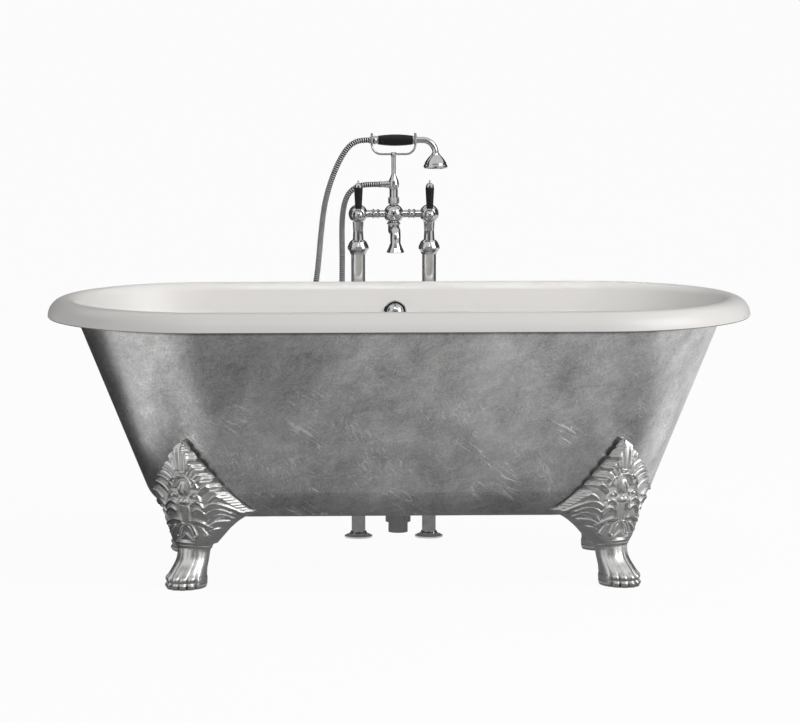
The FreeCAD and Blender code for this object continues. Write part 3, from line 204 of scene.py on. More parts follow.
# Scratches: where a noise is this near its middle, in these patches, and less of them high up
LONG_LINE = (0.028, 0.004)
LONG_PATCHES = (0.54, 0.64)
FINE_LINE = (0.034, 0.005)
FINE_PATCHES = (0.47, 0.38)
FINE_SHARE = 0.55
SCRATCH_HEIGHTS = (0.54, 0.3, 0.16, 1.0)
SCRATCH_TONE = 0.42
SCRATCH_SHINE = 0.1
SCRATCH_RELIEF = 0.6
# Heights of the painted shadow line under the rim and of the dull belly
RIM_SHADOW_LINE = (0.606, 0.613)
RIM_SHADOW_DEPTH = 0.55
BELLY_LINE = (0.26, 0.19)
BELLY_DULL = 0.14


def swings(start, noises, weights):
    """A value that several noises move either way from its start."""
    return sum(((noises[name] - NOISE_MIDDLE) * weight for name, weight in weights.items()), start)


def burnished_iron():
    """Silvered casting: soft clouds, fine brushing both ways, bright hair scratches and a painted
    shadow line under the rim.
    """
    f = new_finish("burnished_iron")
    height = f.axis("Z")
    noises = {name: f.noise(*row) for name, row in IRON_NOISES.items()}
    low = height.between(*SCRATCH_HEIGHTS)
    long_line = abs(noises["long_line"] - NOISE_MIDDLE).between(*LONG_LINE)
    fine_line = abs(noises["fine_line"] - NOISE_MIDDLE).between(*FINE_LINE)
    scratches = long_line * noises["worn"].between(*LONG_PATCHES) * low \
        + fine_line * noises["worn"].between(*FINE_PATCHES) * low * FINE_SHARE
    tone = swings(IRON_TONE, noises, TONE_SWINGS) + scratches * SCRATCH_TONE
    # Painted shadow: a dark band just under the rim
    tone_with_rim_shadow = tone * (1 - height.between(*RIM_SHADOW_LINE) * RIM_SHADOW_DEPTH)
    rough = swings(IRON_ROUGHNESS, noises, ROUGHNESS_SWINGS) - scratches * SCRATCH_SHINE \
        + height.between(*BELLY_LINE) * BELLY_DULL
    relief = noises["brushed"] * RELIEF_SHARE + noises["crossed"] * RELIEF_SHARE \
        + noises["speckle"] * RELIEF_SHARE + scratches * SCRATCH_RELIEF
    return f.surface(base_color=f.colour(tone_with_rim_shadow, BLACK, IRON_TINT), metallic=1.0, roughness=rough,
                     normal=f.bump(relief, *IRON_BUMP))


# Enamel: noise stretches, shades, least roughness and its rise, bump
ENAMEL_WAVE = 9
ENAMEL_CAST = 3
ENAMEL_SHADES = ((0.82, 0.80, 0.777), (0.87, 0.855, 0.835))
ENAMEL_ROUGHNESS = 0.27
ENAMEL_RISE = 0.08
ENAMEL_BUMP = (0.04, 0.004)


def white_enamel():
    """Fired enamel, a warm white with a faint waviness."""
    f = new_finish("white_enamel")
    wave = f.noise(ENAMEL_WAVE)
    cast = f.noise(ENAMEL_CAST)
    return f.surface(base_color=f.colour(cast, *ENAMEL_SHADES),
                     roughness=ENAMEL_ROUGHNESS + wave * ENAMEL_RISE,
                     normal=f.bump(wave, *ENAMEL_BUMP))


# Feet: noises, tint of the carving and its painted shade in the depth, and the painted shadow line
# along the floor
FOOT_GRAIN = (210, 3.0, 0.6)
FOOT_CAST = 38
FOOT_TINT_AND_SHADE = ((0.64, 0.637, 0.632), (0.54, 0.537, 0.532))
FOOT_SHADE_SHARE = 0.75
FOOT_SHADE_SWING = 0.9
# Painted shadow along the floor: heights where it fades in, and its colour
FLOOR_SHADOW_LINE = (0.016, 0.004)
FLOOR_SHADOW_TONE = (0.15, 0.148, 0.145)
FOOT_ROUGHNESS = 0.36
FOOT_SHADE_ROUGHNESS = 0.1
GRAIN_ROUGHNESS = 0.16
SOLE_ROUGHNESS = 0.15
GRAIN_RELIEF = 0.7
FOOT_BUMP = (0.24, 0.0012)


def polished_iron():
    """Polished casting of the feet, with painted shade where the carving is deep and a painted
    shadow along the floor.
    """
    f = new_finish("polished_iron")
    grain = f.noise(*FOOT_GRAIN)
    cast = f.noise(FOOT_CAST)
    # Painted shade in the carving's depth, grooves and creases, varied by a noise
    foot_shade = f.painted_shade() * (FOOT_SHADE_SHARE + (cast - NOISE_MIDDLE) * FOOT_SHADE_SWING)
    # Painted shadow: a dark band just above the floor
    floor_shadow = f.axis("Z").between(*FLOOR_SHADOW_LINE)
    rough = FOOT_ROUGHNESS + foot_shade * FOOT_SHADE_ROUGHNESS \
        + (grain - NOISE_MIDDLE) * GRAIN_ROUGHNESS + floor_shadow * SOLE_ROUGHNESS
    return f.surface(base_color=f.colour(floor_shadow, f.colour(foot_shade, *FOOT_TINT_AND_SHADE), FLOOR_SHADOW_TONE),
                     metallic=1.0, roughness=rough,
                     normal=f.bump(grain * GRAIN_RELIEF + cast, *FOOT_BUMP))


# Plain metals: tint, least roughness and its rise with the haze
METALS = {
    "chrome": ((0.52, 0.523, 0.53), 0.04, 0.05),
    # A lighter copy of chrome for the standpipes: painted light on them
    "chrome_painted_lighter": ((0.84, 0.845, 0.85), 0.05, 0.05),
    "steel": ((0.46, 0.45, 0.44), 0.32, 0.2),
    "rose_plate": ((0.36, 0.36, 0.365), 0.2, 0.12),
}
METAL_HAZE = (60, 3.0)
HAZE_LEVELS = (0.35, 0.75)
HAZE_SHADE = 0.86
METAL_BUMP = (0.03, 0.001)


def bright_metal(name, tint, roughness, rise):
    """A plated or plain metal with a faint unevenness of gloss."""
    f = new_finish(name)
    haze = f.noise(*METAL_HAZE)
    dull = tuple(part * HAZE_SHADE for part in tint)
    return f.surface(base_color=f.colour(haze.between(*HAZE_LEVELS), tint, dull), metallic=1.0,
                     roughness=roughness + haze * rise, normal=f.bump(haze, *METAL_BUMP))


# Hose: haze, tint of a rib's crest and painted shade of its valley, least roughness, its rise with
# haze and depth
HOSE_HAZE = (240, 3.0)
HOSE_TINT_AND_SHADE = ((0.6, 0.6, 0.605), (0.006, 0.006, 0.006))
HOSE_ROUGHNESS = 0.18
HOSE_HAZE_RISE = 0.14
HOSE_DEPTH_RISE = 0.2


def hose_steel():
    """Wound steel of the hose, with painted shade between its ribs."""
    f = new_finish("hose_steel")
    painted_shade = f.painted_shade()
    haze = f.noise(*HOSE_HAZE)
    return f.surface(base_color=f.colour(painted_shade, *HOSE_TINT_AND_SHADE), metallic=1.0,
                     roughness=HOSE_ROUGHNESS + haze * HOSE_HAZE_RISE + painted_shade * HOSE_DEPTH_RISE)


# Black mouldings: noises, shades, least roughness and its rise, sheen, bump
GRIP_STREAK = ((60, 60, 16), 3.0)
GRIP_GRAIN = 420
GRIP_SHADES = ((0.009, 0.009, 0.01), (0.022, 0.021, 0.021))
GRIP_ROUGHNESS = 0.3
GRIP_RISE = 0.16
GRIP_SHEEN = 0.2
GRIP_BUMP = (0.06, 0.0006)
RUBBER_GRAIN = 300
RUBBER_SHADES = ((0.014, 0.014, 0.014), (0.03, 0.029, 0.028))
RUBBER_ROUGHNESS = 0.55
RUBBER_RISE = 0.25
RUBBER_BUMP = (0.15, 0.0008)


def black_grip():
    """Satin black moulding with faint lengthwise streaks."""
    f = new_finish("black_grip")
    streak = f.noise(*GRIP_STREAK)
    grain = f.noise(GRIP_GRAIN)
    return f.surface(base_color=f.colour(streak, *GRIP_SHADES),
                     roughness=GRIP_ROUGHNESS + grain * GRIP_RISE, specular_ior_level=GRIP_SHEEN,
                     normal=f.bump(grain, *GRIP_BUMP))


def black_rubber():
    f = new_finish("rubber")
    grain = f.noise(RUBBER_GRAIN)
    return f.surface(base_color=f.colour(grain, *RUBBER_SHADES),
                     roughness=RUBBER_ROUGHNESS + grain * RUBBER_RISE,
                     normal=f.bump(grain, *RUBBER_BUMP))


FINISHES = {
    "burnished_iron": burnished_iron(),
    "white_enamel": white_enamel(),
    "polished_iron": polished_iron(),
    "hose_steel": hose_steel(),
    "black_grip": black_grip(),
    "rubber": black_rubber(),
    **{name: bright_metal(name, *row) for name, row in METALS.items()},
}


def dress_castings():
    """Gives every node of the frame its slot's finish, and the standpipes a lighter copy of chrome,
    which is painted light.
    """
    for name, node in frame["nodes"].items():
        finish = FINISHES["chrome_painted_lighter" if name.startswith("standpipe") else NODE_SLOTS[name]]
        for part in node.material_slots:
            part.material = finish


MERGE_GAP = 1e-6


def deselect():
    if bpy.context.object and bpy.context.object.mode != "OBJECT":
        bpy.ops.object.mode_set(mode="OBJECT")
    bpy.ops.object.select_all(action="DESELECT")


def chosen(*pieces):
    deselect()
    for piece in pieces:
        piece.select_set(True)
    bpy.context.view_layer.objects.active = pieces[0]
    return pieces[0]


def points_of(piece):
    spots = np.empty(len(piece.data.vertices) * 3)
    piece.data.vertices.foreach_get("co", spots)
    return spots.reshape(-1, 3)


def move_points(piece, spots):
    piece.data.vertices.foreach_set("co", np.ascontiguousarray(spots, dtype=float).ravel())
    piece.data.update()


# Writes each point's share of painted shade
def set_painted_shade(piece, painted_shade):
    layer = piece.data.attributes.new(SHADE_ATTRIBUTE, "FLOAT", "POINT")
    layer.data.foreach_set("value", np.clip(painted_shade, 0, 1).astype(np.float32))


def tidy_faces(piece, angle=math.pi):
    """Merges doubles, turns faces outwards and shades the piece smooth up to an angle."""
    chosen(piece)
    bpy.ops.object.mode_set(mode="EDIT")
    bpy.ops.mesh.select_all(action="SELECT")
    bpy.ops.mesh.remove_doubles(threshold=MERGE_GAP)
    bpy.ops.mesh.normals_make_consistent(inside=False)
    bpy.ops.object.mode_set(mode="OBJECT")
    bpy.ops.object.shade_smooth_by_angle(angle=angle)


def settle(piece, name, finish, body=None):
    """Names a piece and gives it its finish, its slot and, unless it is None, its body."""
    piece.name = name
    piece.data.name = name
    piece.data.materials.clear()
    piece.data.materials.append(FINISHES[finish])
    if body:
        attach(piece, body)


def smooth(value, low, high):
    """Smooth step from nought, at low, to one, at high."""
    share = np.clip((value - low) / (high - low), 0, 1)
    return share * share * (3 - 2 * share)


def ridge(value, middle, width):
    """Rounded ridge: one at its middle, falling away on both sides."""
    return np.exp(-((value - middle) / width) ** 2)


# Shower hose in millimetres, from the outlet round to the handset's tail: across, above the floor
HOSE_ROUTE = (
    (-37, 903), (-60, 903), (-83, 900.8), (-102.5, 892), (-117, 876), (-127, 847.5),
    (-131.5, 800), (-130, 722), (-131.5, 615), (-128, 500), (-125, 397), (-130, 329.5),
    (-152.5, 290.5), (-191.5, 268), (-236.5, 268), (-275.5, 290.5), (-298, 329.5),
    (-300, 370), (-267, 440), (-231, 520), (-203, 612), (-191, 697), (-184, 781),
    (-174.8, 856), (-158.3, 913.6), (-139.9, 958), (-121.9, 989), (-105.3, 1006.4),
    (-85, 1015), (-63.3, 1015),
)
LINE_STEPS = 16
LINE_ORDER = 3
# Radius over the ribs and between them, in metres
HOSE_CREST = 0.0075
HOSE_VALLEY = 0.0062
HOSE_RIBS = 296
HOSE_SIDES = 18
RIB_MERGE = 0.02
# One rib: places along it, and at each its rise and how free it is of painted shade, from valley to
# crest
HOSE_RINGS = (0.0, 0.24, 0.34, 0.5, 0.66, 0.76, 1.0)
HOSE_RISE = (0.0, 0.5, 0.95, 1.0, 0.95, 0.5, 0.0)
HOSE_UNSHADED = (0.0, 0.0, 0.9, 1.0, 0.9, 0.0, 0.0)


def hose_line():
    """The hose's own line as a smooth spline, and the points read from it."""
    line = bpy.data.curves.new("hose_line", "CURVE")
    line.dimensions = "3D"
    line.twist_mode = "MINIMUM"
    line.resolution_u = LINE_STEPS
    spline = line.splines.new("NURBS")
    spline.points.add(len(HOSE_ROUTE) - 1)
    for point, (across, height) in zip(spline.points, HOSE_ROUTE):
        point.co = (across * MM, TAP_Y, height * MM, 1)
    spline.order_u = LINE_ORDER
    spline.use_endpoint_u = True
    guide = bpy.data.objects.new("hose_line", line)
    bpy.context.scene.collection.objects.link(guide)
    bpy.context.view_layer.update()
    mesh = bpy.data.meshes.new_from_object(guide)
    path = [tuple(vertex.co) for vertex in mesh.vertices]
    bpy.data.meshes.remove(mesh)
    return guide, path


def shower_hose():
    """Wound steel hose: one rib, repeated along the hose's line."""
    guide, path = hose_line()
    length = sum((Vector(b) - Vector(a)).length for a, b in zip(path, path[1:]))
    pitch = length / HOSE_RIBS
    deselect()
    bpy.ops.mesh.primitive_cylinder_add(
        vertices=HOSE_SIDES, radius=HOSE_VALLEY, depth=pitch, end_fill_type="NOTHING",
        location=(pitch / 2, 0, 0), rotation=(0, math.pi / 2, 0))
    hose = bpy.context.object
    bpy.ops.object.transform_apply(location=True, rotation=True, scale=True)
    bpy.ops.object.mode_set(mode="EDIT")
    for share in HOSE_RINGS[1:-1]:
        bpy.ops.mesh.select_all(action="SELECT")
        bpy.ops.mesh.bisect(plane_co=(pitch * share, 0, 0), plane_no=(1, 0, 0))
    bpy.ops.object.mode_set(mode="OBJECT")
    spots = points_of(hose)
    along = spots[:, 0] / pitch
    crest = np.interp(along, HOSE_RINGS, HOSE_RISE)
    radius = HOSE_VALLEY + (HOSE_CREST - HOSE_VALLEY) * crest
    spots[:, 1:] *= (radius / np.hypot(spots[:, 1], spots[:, 2]))[:, None]
    move_points(hose, spots)
    # Painted shade on the ribs' slopes and valleys, none on their crests
    set_painted_shade(hose, 1 - np.interp(along, HOSE_RINGS, HOSE_UNSHADED))
    rows = hose.modifiers.new("rows", "ARRAY")
    rows.count = HOSE_RIBS
    rows.use_relative_offset = False
    rows.use_constant_offset = True
    rows.constant_offset_displace = (pitch, 0, 0)
    rows.use_merge_vertices = True
    rows.merge_threshold = pitch * RIB_MERGE
    follow = hose.modifiers.new("follow", "CURVE")
    follow.object = guide
    follow.deform_axis = "POS_X"
    bpy.ops.object.modifier_apply(modifier="rows")
    bpy.ops.object.modifier_apply(modifier="follow")
    bpy.data.objects.remove(guide)
    tidy_faces(hose)
    settle(hose, "hose_winding", "hose_steel")
    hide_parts("shower_hose")
    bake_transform(hose)


# Feet, in millimetres: reach outwards from the foot's own centre, side along the bath,
# height above the floor
FOOT_CENTRE = 354.0
FOOT_ANGLE = math.radians(32.5)
FOOT_CREASE = math.radians(60)
# Bath's outside wall: its foot, its rise, and its half sizes at the foot with their growth
WALL_LOW = 160.0
WALL_RISE = 505.0
WALL_HALF_WIDTH = (264.0, 75.0)
WALL_HALF_LENGTH = (595.0, 204.0)
WALL_CLEAR = 0.4
BELLY_RADIUS = 80.0
# The plate's wings follow the belly's turn this far, more and more between these sides
TUCK_MOST = 30
TUCK_SIDES = (50, 105)
PLATE_ROWS = 200
PLATE_COLUMNS = 150
PLATE_LEAST = 3
# Plate's half width at heights, from the collar up to the wing tip and on to the apex
PLATE_EDGE = (
    (101, 47), (108, 54), (121, 65), (143, 82), (160, 100), (172, 121), (181, 141), (187, 136),
    (204, 121), (230, 100), (253, 81), (277, 64), (297, 48), (315, 35), (333, 24), (344, 15),
    (352, 6),
)
# Heights where two leaf tips meet along the upper edge, and how far the edge steps in there
LEAF_NOTCHES = (239, 260, 283, 307, 331)
NOTCH_DEPTH = 9.0
NOTCH_WIDTH = 3.4
NOTCH_FADE = (0, 40)
# Plate's stand-off from the wall at heights: at its edge and along its middle
STAND_OFF = (
    (101, 60, 74), (120, 52, 72), (140, 36, 70), (160, 24, 68), (181, 12, 66), (200, 22, 64),
    (222, 34, 58), (240, 42, 54), (260, 46, 50), (280, 44, 47), (300, 40, 43), (320, 34, 36),
    (336, 26, 28), (352, 15, 16),
)
# Depth of the carving's ground below the stand-off, and the edge's rolling away
GROUND_DEPTH = 7.0
ROLL_DEPTH = 7.0
ROLL_WIDTH = 7
# Beaded edge band on the side towards the bath's middle: where it starts, width, blur, drop,
# gap behind it, beads' height and pitch
BAND_SIDES = (0, 0.2)
BAND_HEIGHTS = (178, 192)
BAND_WIDTH = 13.0
BAND_BLUR = 3
BAND_DROP = 13.0
BAND_GAP = 9.0
GAP_MARGINS = (26, 6)
BEAD_RISE = 1.6
BEAD_PITCH = 6.5
# Relief that is fully free of painted shade, and the painted shade of faces out of sight
UNSHADED_RELIEF = 3.5
BACK_PAINTED_SHADE = 0.5
# Carving's middle line lies a little towards the bath's middle
CARVING_SHIFT = 9.0
# Carved leaves on one side: three points (side, height), half width at root and tip, height,
# spoon's depth
CARVED_LEAVES = (
    ((9, 272), (20, 296), (44, 307), 5.0, 10.5, 8.0, 0.62),
    ((22, 256), (34, 284), (66, 283), 5.5, 9.0, 8.5, 0.55),
    ((32, 246), (54, 274), (90, 260), 6.5, 7.5, 9.0, 0.2),
    ((46, 232), (72, 258), (102, 244), 7.5, 8.0, 9.0, 0.2),
    ((68, 212), (88, 232), (120, 216), 6.0, 7.0, 8.0, 0.1),
    ((88, 240), (97, 234), (97, 221), 3.6, 3.0, 9.0, 0.0),
    ((56, 192), (78, 222), (124, 177), 7.0, 4.0, 8.5, 0.0),
    ((56, 176), (80, 206), (110, 168), 6.5, 3.4, 8.0, 0.0),
    ((60, 158), (76, 190), (100, 163), 6.5, 3.6, 8.0, 0.0),
    ((58, 144), (76, 171), (104, 147), 6.0, 6.0, 8.5, 0.0),
    ((62, 136), (74, 145), (86, 134), 5.6, 4.0, 6.5, 0.2),
    ((0, 269), (21, 270), (23, 244), 4.0, 4.4, 8.0, 0.0),
    ((22, 264), (34, 262), (40, 244), 4.0, 5.0, 7.5, 0.0),
    ((22, 223), (38, 232), (44, 212), 6.0, 5.0, 8.0, 0.2),
    ((24, 203), (38, 214), (50, 196), 6.0, 5.0, 8.0, 0.2),
    ((26, 184), (40, 198), (52, 178), 6.0, 5.0, 7.5, 0.2),
    ((14, 160), (36, 168), (62, 146), 6.0, 5.0, 8.0, 0.0),
    ((12, 198), (17, 182), (12, 164), 3.6, 3.6, 7.5, 0.0),
    ((9, 152), (18, 148), (24, 127), 6.5, 7.5, 8.5, 0.5),
    ((36, 146), (44, 144), (52, 128), 5.0, 5.0, 7.0, 0.4),
)
# A leaf's section: share of its half width in the rounded edge, ribbon's low side and its rise
# across, depth from which it is a spoon and the spoon's curve, height at the root and its growth
LEAF_STEPS = 40
LEAF_ROUND = 0.42
RIBBON_LOW = 0.42
RIBBON_RISE = 0.58
RIBBON_LEAN = (-1, 0.5)
SPOON_LEAST = 0.3
SPOON_CURVE = 1.5
LEAF_ROOT = 0.8
LEAF_GROWTH = 0.3
# Bud and cap on the middle line: height, half width, half height, rise
BUD = (241, 17.0, 20.0, 10.5)
CAP = (280, 12.0, 4.0, 7.0)
# Bud's slanting clefts: depth, slant, top as a share of its half height, width
CLEFT_DEPTH = 0.35
CLEFT_SLANT = 0.35
CLEFT_TOP = 0.3
CLEFT_WIDTH = 2.6
# Roundels: side, height, radius, rise (a pit where it is below nought)
ROUNDELS = ((6, 210, 8.5, 8.0), (32, 222, 6.0, 8.5), (57, 225, 7.5, -8.0))
# Drop over the collar
DROP_TOP = 135.0
DROP_FOOT = 113.0
DROP_TAPER = 1.15
DROP_EDGE = 4
DROP_RISE = 5.5
# Fan at the top: its centre's height and where it fades in, its flutes, and its border in degrees
FAN_FOOT = 236.0
FAN_HEIGHTS = (279, 285)
FAN_FLUTES = 31.0
FLUTE_BASE = 2.2
FLUTE_RISE = 4.0
FAN_BORDER = 20
FAN_END = 23
BORDER_WIDTH = 2.2
BORDER_RISE = 5.0
# Leg and paw below the carving: height, half width, half depth, centre's reach
SHANK = (
    (0, 43, 55, 298), (8, 46, 57, 298), (20, 46, 57, 297), (32, 44, 52, 293),
    (44, 41.5, 46, 286), (56, 40, 41, 277), (68, 39, 38.5, 270), (82, 39, 37.5, 266),
    (92, 41, 38.5, 264), (100, 44.5, 42, 264), (108, 43, 41, 265), (130, 42, 40, 268),
)
SHANK_SIDES = 150
SHANK_RINGS = 120
SHANK_TOP = 130.0
# Shares of the ball that end its flat sole and start its flat crown
SOLE_SHARE = 0.08
CROWN_SHARE = 0.95
# Collar: height, tilt and where that starts, and rings by rise, place above it and width
COLLAR_HEIGHT = 98.0
COLLAR_TILT = 0.13
TILT_HEIGHTS = (70, 92)
COLLAR_RINGS = ((0.055, -4, 2.4), (0.075, 5, 3))
# Painted shade in a line round the collar: its strength and width
COLLAR_PAINTED_SHADE = 0.7
COLLAR_LINE = 2
# Toes, in degrees round the leg; grooves by height and depth; knuckles by rise, height and width
TOES = 5
TOE_TURN = 27.0
TOE_FADE = (9, 3)
TOE_GROOVES = ((0, 6, 20, 30, 40, 62, 84, 92), (0.08, 0.16, 0.17, 0.11, 0.06, 0.04, 0.03, 0.0))
GROOVE_FULL = 0.16
GROOVE_CURVE = 1.3
KNUCKLES = ((0.06, 27, 6), (-0.05, 16, 3), (0.04, 7, 5))
# Crease behind the toes: depth, height and its rise by the degree, width, degrees, painted shade
CREASE_DEPTH = 0.02
CREASE_HEIGHT = 24
CREASE_SLANT = 0.05
CREASE_WIDTH = 2.2
CREASE_TURNS = (70, 90)
CREASE_PAINTED_SHADE = 40
# Heel drawn in at the back of the paw
HEEL_DEPTH = 0.12
HEEL_TURNS = (120, 175)
HEEL_HEIGHTS = (60, 25)
# Tongue under the bath: width, near and far reach, heights, rounding of its end, in millimetres
TONGUE_WIDTH = 56
TONGUE_REACH = (122.0, 300.0)
TONGUE_HEIGHTS = (134.0, 147.8)
TONGUE_ROUND = 27.8
TONGUE_STEPS = 10
# Painted shade over the whole tongue, under the bath
TONGUE_PAINTED_SHADE = 0.7


def table(heights, rows, column):
    """Smooth curve through a table's rows."""
    known = np.array([row[0] for row in rows], float)
    values = np.array([row[column] for row in rows], float)
    slopes = np.gradient(values, known)
    spot = np.clip(np.searchsorted(known, heights) - 1, 0, len(known) - 2)
    gap = known[spot + 1] - known[spot]
    share = np.clip((heights - known[spot]) / gap, 0, 1)
    low, high = values[spot], values[spot + 1]
    rise = high - low
    limit = 3 * abs(rise)
    start = np.clip(slopes[spot] * gap, -limit, limit)
    end = np.clip(slopes[spot + 1] * gap, -limit, limit)
    turn = share * share * (3 - 2 * share)
    return low + rise * turn + start * (share ** 3 - 2 * share ** 2 + share) \
        + end * (share ** 3 - share ** 2)


def wall_reach(side, height):
    """Reach of the bath's outside wall from the foot's centre, with the belly's turn under it."""
    rise = (height - WALL_LOW) / WALL_RISE
    half_width = WALL_HALF_WIDTH[0] + WALL_HALF_WIDTH[1] * rise
    half_length = WALL_HALF_LENGTH[0] + WALL_HALF_LENGTH[1] * rise
    sine, cosine = math.sin(FOOT_ANGLE), math.cos(FOOT_ANGLE)
    flat = (half_width - side * sine) / cosine
    round_centre = -(half_length - half_width)
    across = -FOOT_CENTRE + side * cosine - round_centre
    down = -side * sine
    lead = across * sine + down * cosine
    inside = lead ** 2 - across ** 2 - down ** 2 + half_width ** 2
    curved = lead + np.sqrt(np.maximum(inside, 0))
    on_flat = -FOOT_CENTRE - flat * sine + side * cosine > round_centre
    reach = np.where(on_flat, flat, curved)
    depth = np.clip(WALL_LOW + BELLY_RADIUS - height, 0, BELLY_RADIUS)
    under = BELLY_RADIUS - np.sqrt(np.maximum(BELLY_RADIUS ** 2 - depth ** 2, 0))
    return reach + WALL_CLEAR - np.minimum(under, TUCK_MOST) * smooth(abs(side), *TUCK_SIDES)


def carved_rib(side, height, leaf):
    """Height of one carved leaf along a curve: a ribbon highest near its upper edge, or a spoon."""
    start, middle, end = (np.array(spot) for spot in leaf[:3])
    root, tip, rise, spoon = leaf[3:]
    best = np.full(side.shape, np.inf)
    along = np.zeros(side.shape)
    lean = np.zeros(side.shape)
    for share in np.linspace(0, 1, LEAF_STEPS):
        spot = (1 - share) ** 2 * start + 2 * share * (1 - share) * middle + share ** 2 * end
        way = (1 - share) * (middle - start) + share * (end - middle)
        way = way / np.hypot(*way)
        across, up = side - spot[0], height - spot[1]
        gap = np.hypot(across, up)
        nearer = gap < best
        best = np.where(nearer, gap, best)
        along = np.where(nearer, share, along)
        lean = np.where(nearer, way[0] * up - way[1] * across, lean)
    width = root + (tip - root) * along
    off = best / width
    edge = np.sqrt(np.clip((1 - off) / LEAF_ROUND, 0, 1))
    ribbon = RIBBON_LOW + RIBBON_RISE * smooth(lean / width, *RIBBON_LEAN)
    scoop = 1 - spoon * np.clip(1 - off ** 2, 0, 1) ** SPOON_CURVE
    shape = np.where(spoon > SPOON_LEAST, 1.0, ribbon) * scoop
    return rise * (LEAF_ROOT + LEAF_GROWTH * along) * edge * shape


def swelling(side, height, middle, wide, tall):
    """Rounded oval from one in its middle to nought at its edge."""
    across, up = (side - middle[0]) / wide, (height - middle[1]) / tall
    return np.sqrt(np.clip(1 - across ** 2 - up ** 2, 0, 1))


def fan_relief(side, height):
    """Fluted fan with its raised border."""
    turn = np.arctan2(side, height - FAN_FOOT)
    degrees = np.degrees(turn)
    flute = abs(np.cos(turn * FAN_FLUTES / 2))
    fan = (FLUTE_BASE + FLUTE_RISE * flute ** 3) * smooth(degrees, FAN_END, FAN_BORDER) \
        + BORDER_RISE * ridge(degrees, FAN_BORDER, BORDER_WIDTH)
    return fan * smooth(height, *FAN_HEIGHTS)


def carving(side, height, half_width):
    """Relief of the whole leaf on the plate, in millimetres."""
    side = abs(side - CARVING_SHIFT * (1 - np.clip(side / half_width, -1, 1) ** 2))
    relief = np.zeros(side.shape)
    for leaf in CARVED_LEAVES:
        relief = np.maximum(relief, carved_rib(side, height, leaf))
    relief = np.maximum(relief, fan_relief(side, height))
    up, wide, tall, rise = BUD
    bud = swelling(side, height, (0, up), wide, tall)
    slant = CLEFT_SLANT * (up + CLEFT_TOP * tall - height)
    cleft = 1 - CLEFT_DEPTH * ridge(side, slant, CLEFT_WIDTH)
    relief = np.maximum(relief, rise * bud * cleft)
    up, wide, tall, rise = CAP
    relief = np.maximum(relief, rise * swelling(side, height, (0, up), wide, tall))
    for across, up, wide, rise in ROUNDELS:
        knob = rise * swelling(side, height, (across, up), wide, wide)
        relief = np.maximum(relief + knob, 0) if rise < 0 else np.maximum(relief, knob)
    drop = smooth((DROP_TOP - height) * DROP_TAPER - side, 0, DROP_EDGE) \
        * smooth(height, DROP_FOOT, DROP_FOOT + DROP_EDGE)
    return np.maximum(relief, DROP_RISE * drop)


def foot_plate():
    """Leaf plate on the bath's corner: a sheet given thickness, then carved on its front."""
    deselect()
    bpy.ops.mesh.primitive_grid_add(
        x_subdivisions=PLATE_COLUMNS, y_subdivisions=PLATE_ROWS, size=2)
    plate = bpy.context.object
    bpy.ops.object.mode_set(mode="EDIT")
    bpy.ops.mesh.select_all(action="SELECT")
    bpy.ops.mesh.extrude_region_move(TRANSFORM_OT_translate={"value": (0, 0, 1)})
    bpy.ops.object.mode_set(mode="OBJECT")
    spots = points_of(plate)
    low, high = PLATE_EDGE[0][0], PLATE_EDGE[-1][0]
    height = low + (high - low) * (spots[:, 1] + 1) / 2
    half_width = table(height, PLATE_EDGE, 1)
    for notch in LEAF_NOTCHES:
        half_width = half_width - NOTCH_DEPTH * ridge(height, notch, NOTCH_WIDTH) \
            * smooth(half_width, *NOTCH_FADE)
    side = spots[:, 0] * half_width
    back = wall_reach(side, height)
    share = abs(spots[:, 0])
    edge_stand = table(height, STAND_OFF, 1)
    middle_stand = table(height, STAND_OFF, 2)
    stand = edge_stand + (middle_stand - edge_stand) * np.sqrt(np.clip(1 - share ** 2, 0, 1))
    margin = half_width * (1 - share)
    inner = smooth(spots[:, 0], *BAND_SIDES) * smooth(height, *BAND_HEIGHTS)
    band = inner * smooth(margin, BAND_WIDTH + BAND_BLUR, BAND_WIDTH - BAND_BLUR)
    drop = BAND_DROP * inner * np.clip(1 - margin / BAND_WIDTH, 0, 1)
    beads = BEAD_RISE * np.cos(2 * math.pi * height / BEAD_PITCH) * band
    rolled = ROLL_DEPTH * smooth(margin, ROLL_WIDTH, 0) * (1 - inner) + drop
    relief = carving(side, height, half_width) * (1 - band)
    front = back + stand + relief + beads - GROUND_DEPTH - rolled
    is_front = spots[:, 2] > 0.5
    behind = back + BAND_GAP * inner * smooth(margin, *GAP_MARGINS)
    reach = np.where(is_front, np.maximum(front, behind + PLATE_LEAST), behind)
    move_points(plate, foot_place(side, reach, height))
    # Painted shade: full on the carving's ground, less on its relief, and on the faces out of sight
    set_painted_shade(plate, np.where(is_front, 1 - relief / UNSHADED_RELIEF, BACK_PAINTED_SHADE))
    return plate


def foot_place(side, reach, height):
    """From the foot's own side, reach and height to the front left foot's place, in metres."""
    sine, cosine = math.sin(FOOT_ANGLE), math.cos(FOOT_ANGLE)
    return np.stack([
        -FOOT_CENTRE - reach * sine + side * cosine,
        TUB_Y_MM - reach * cosine - side * sine,
        height], axis=1) * MM


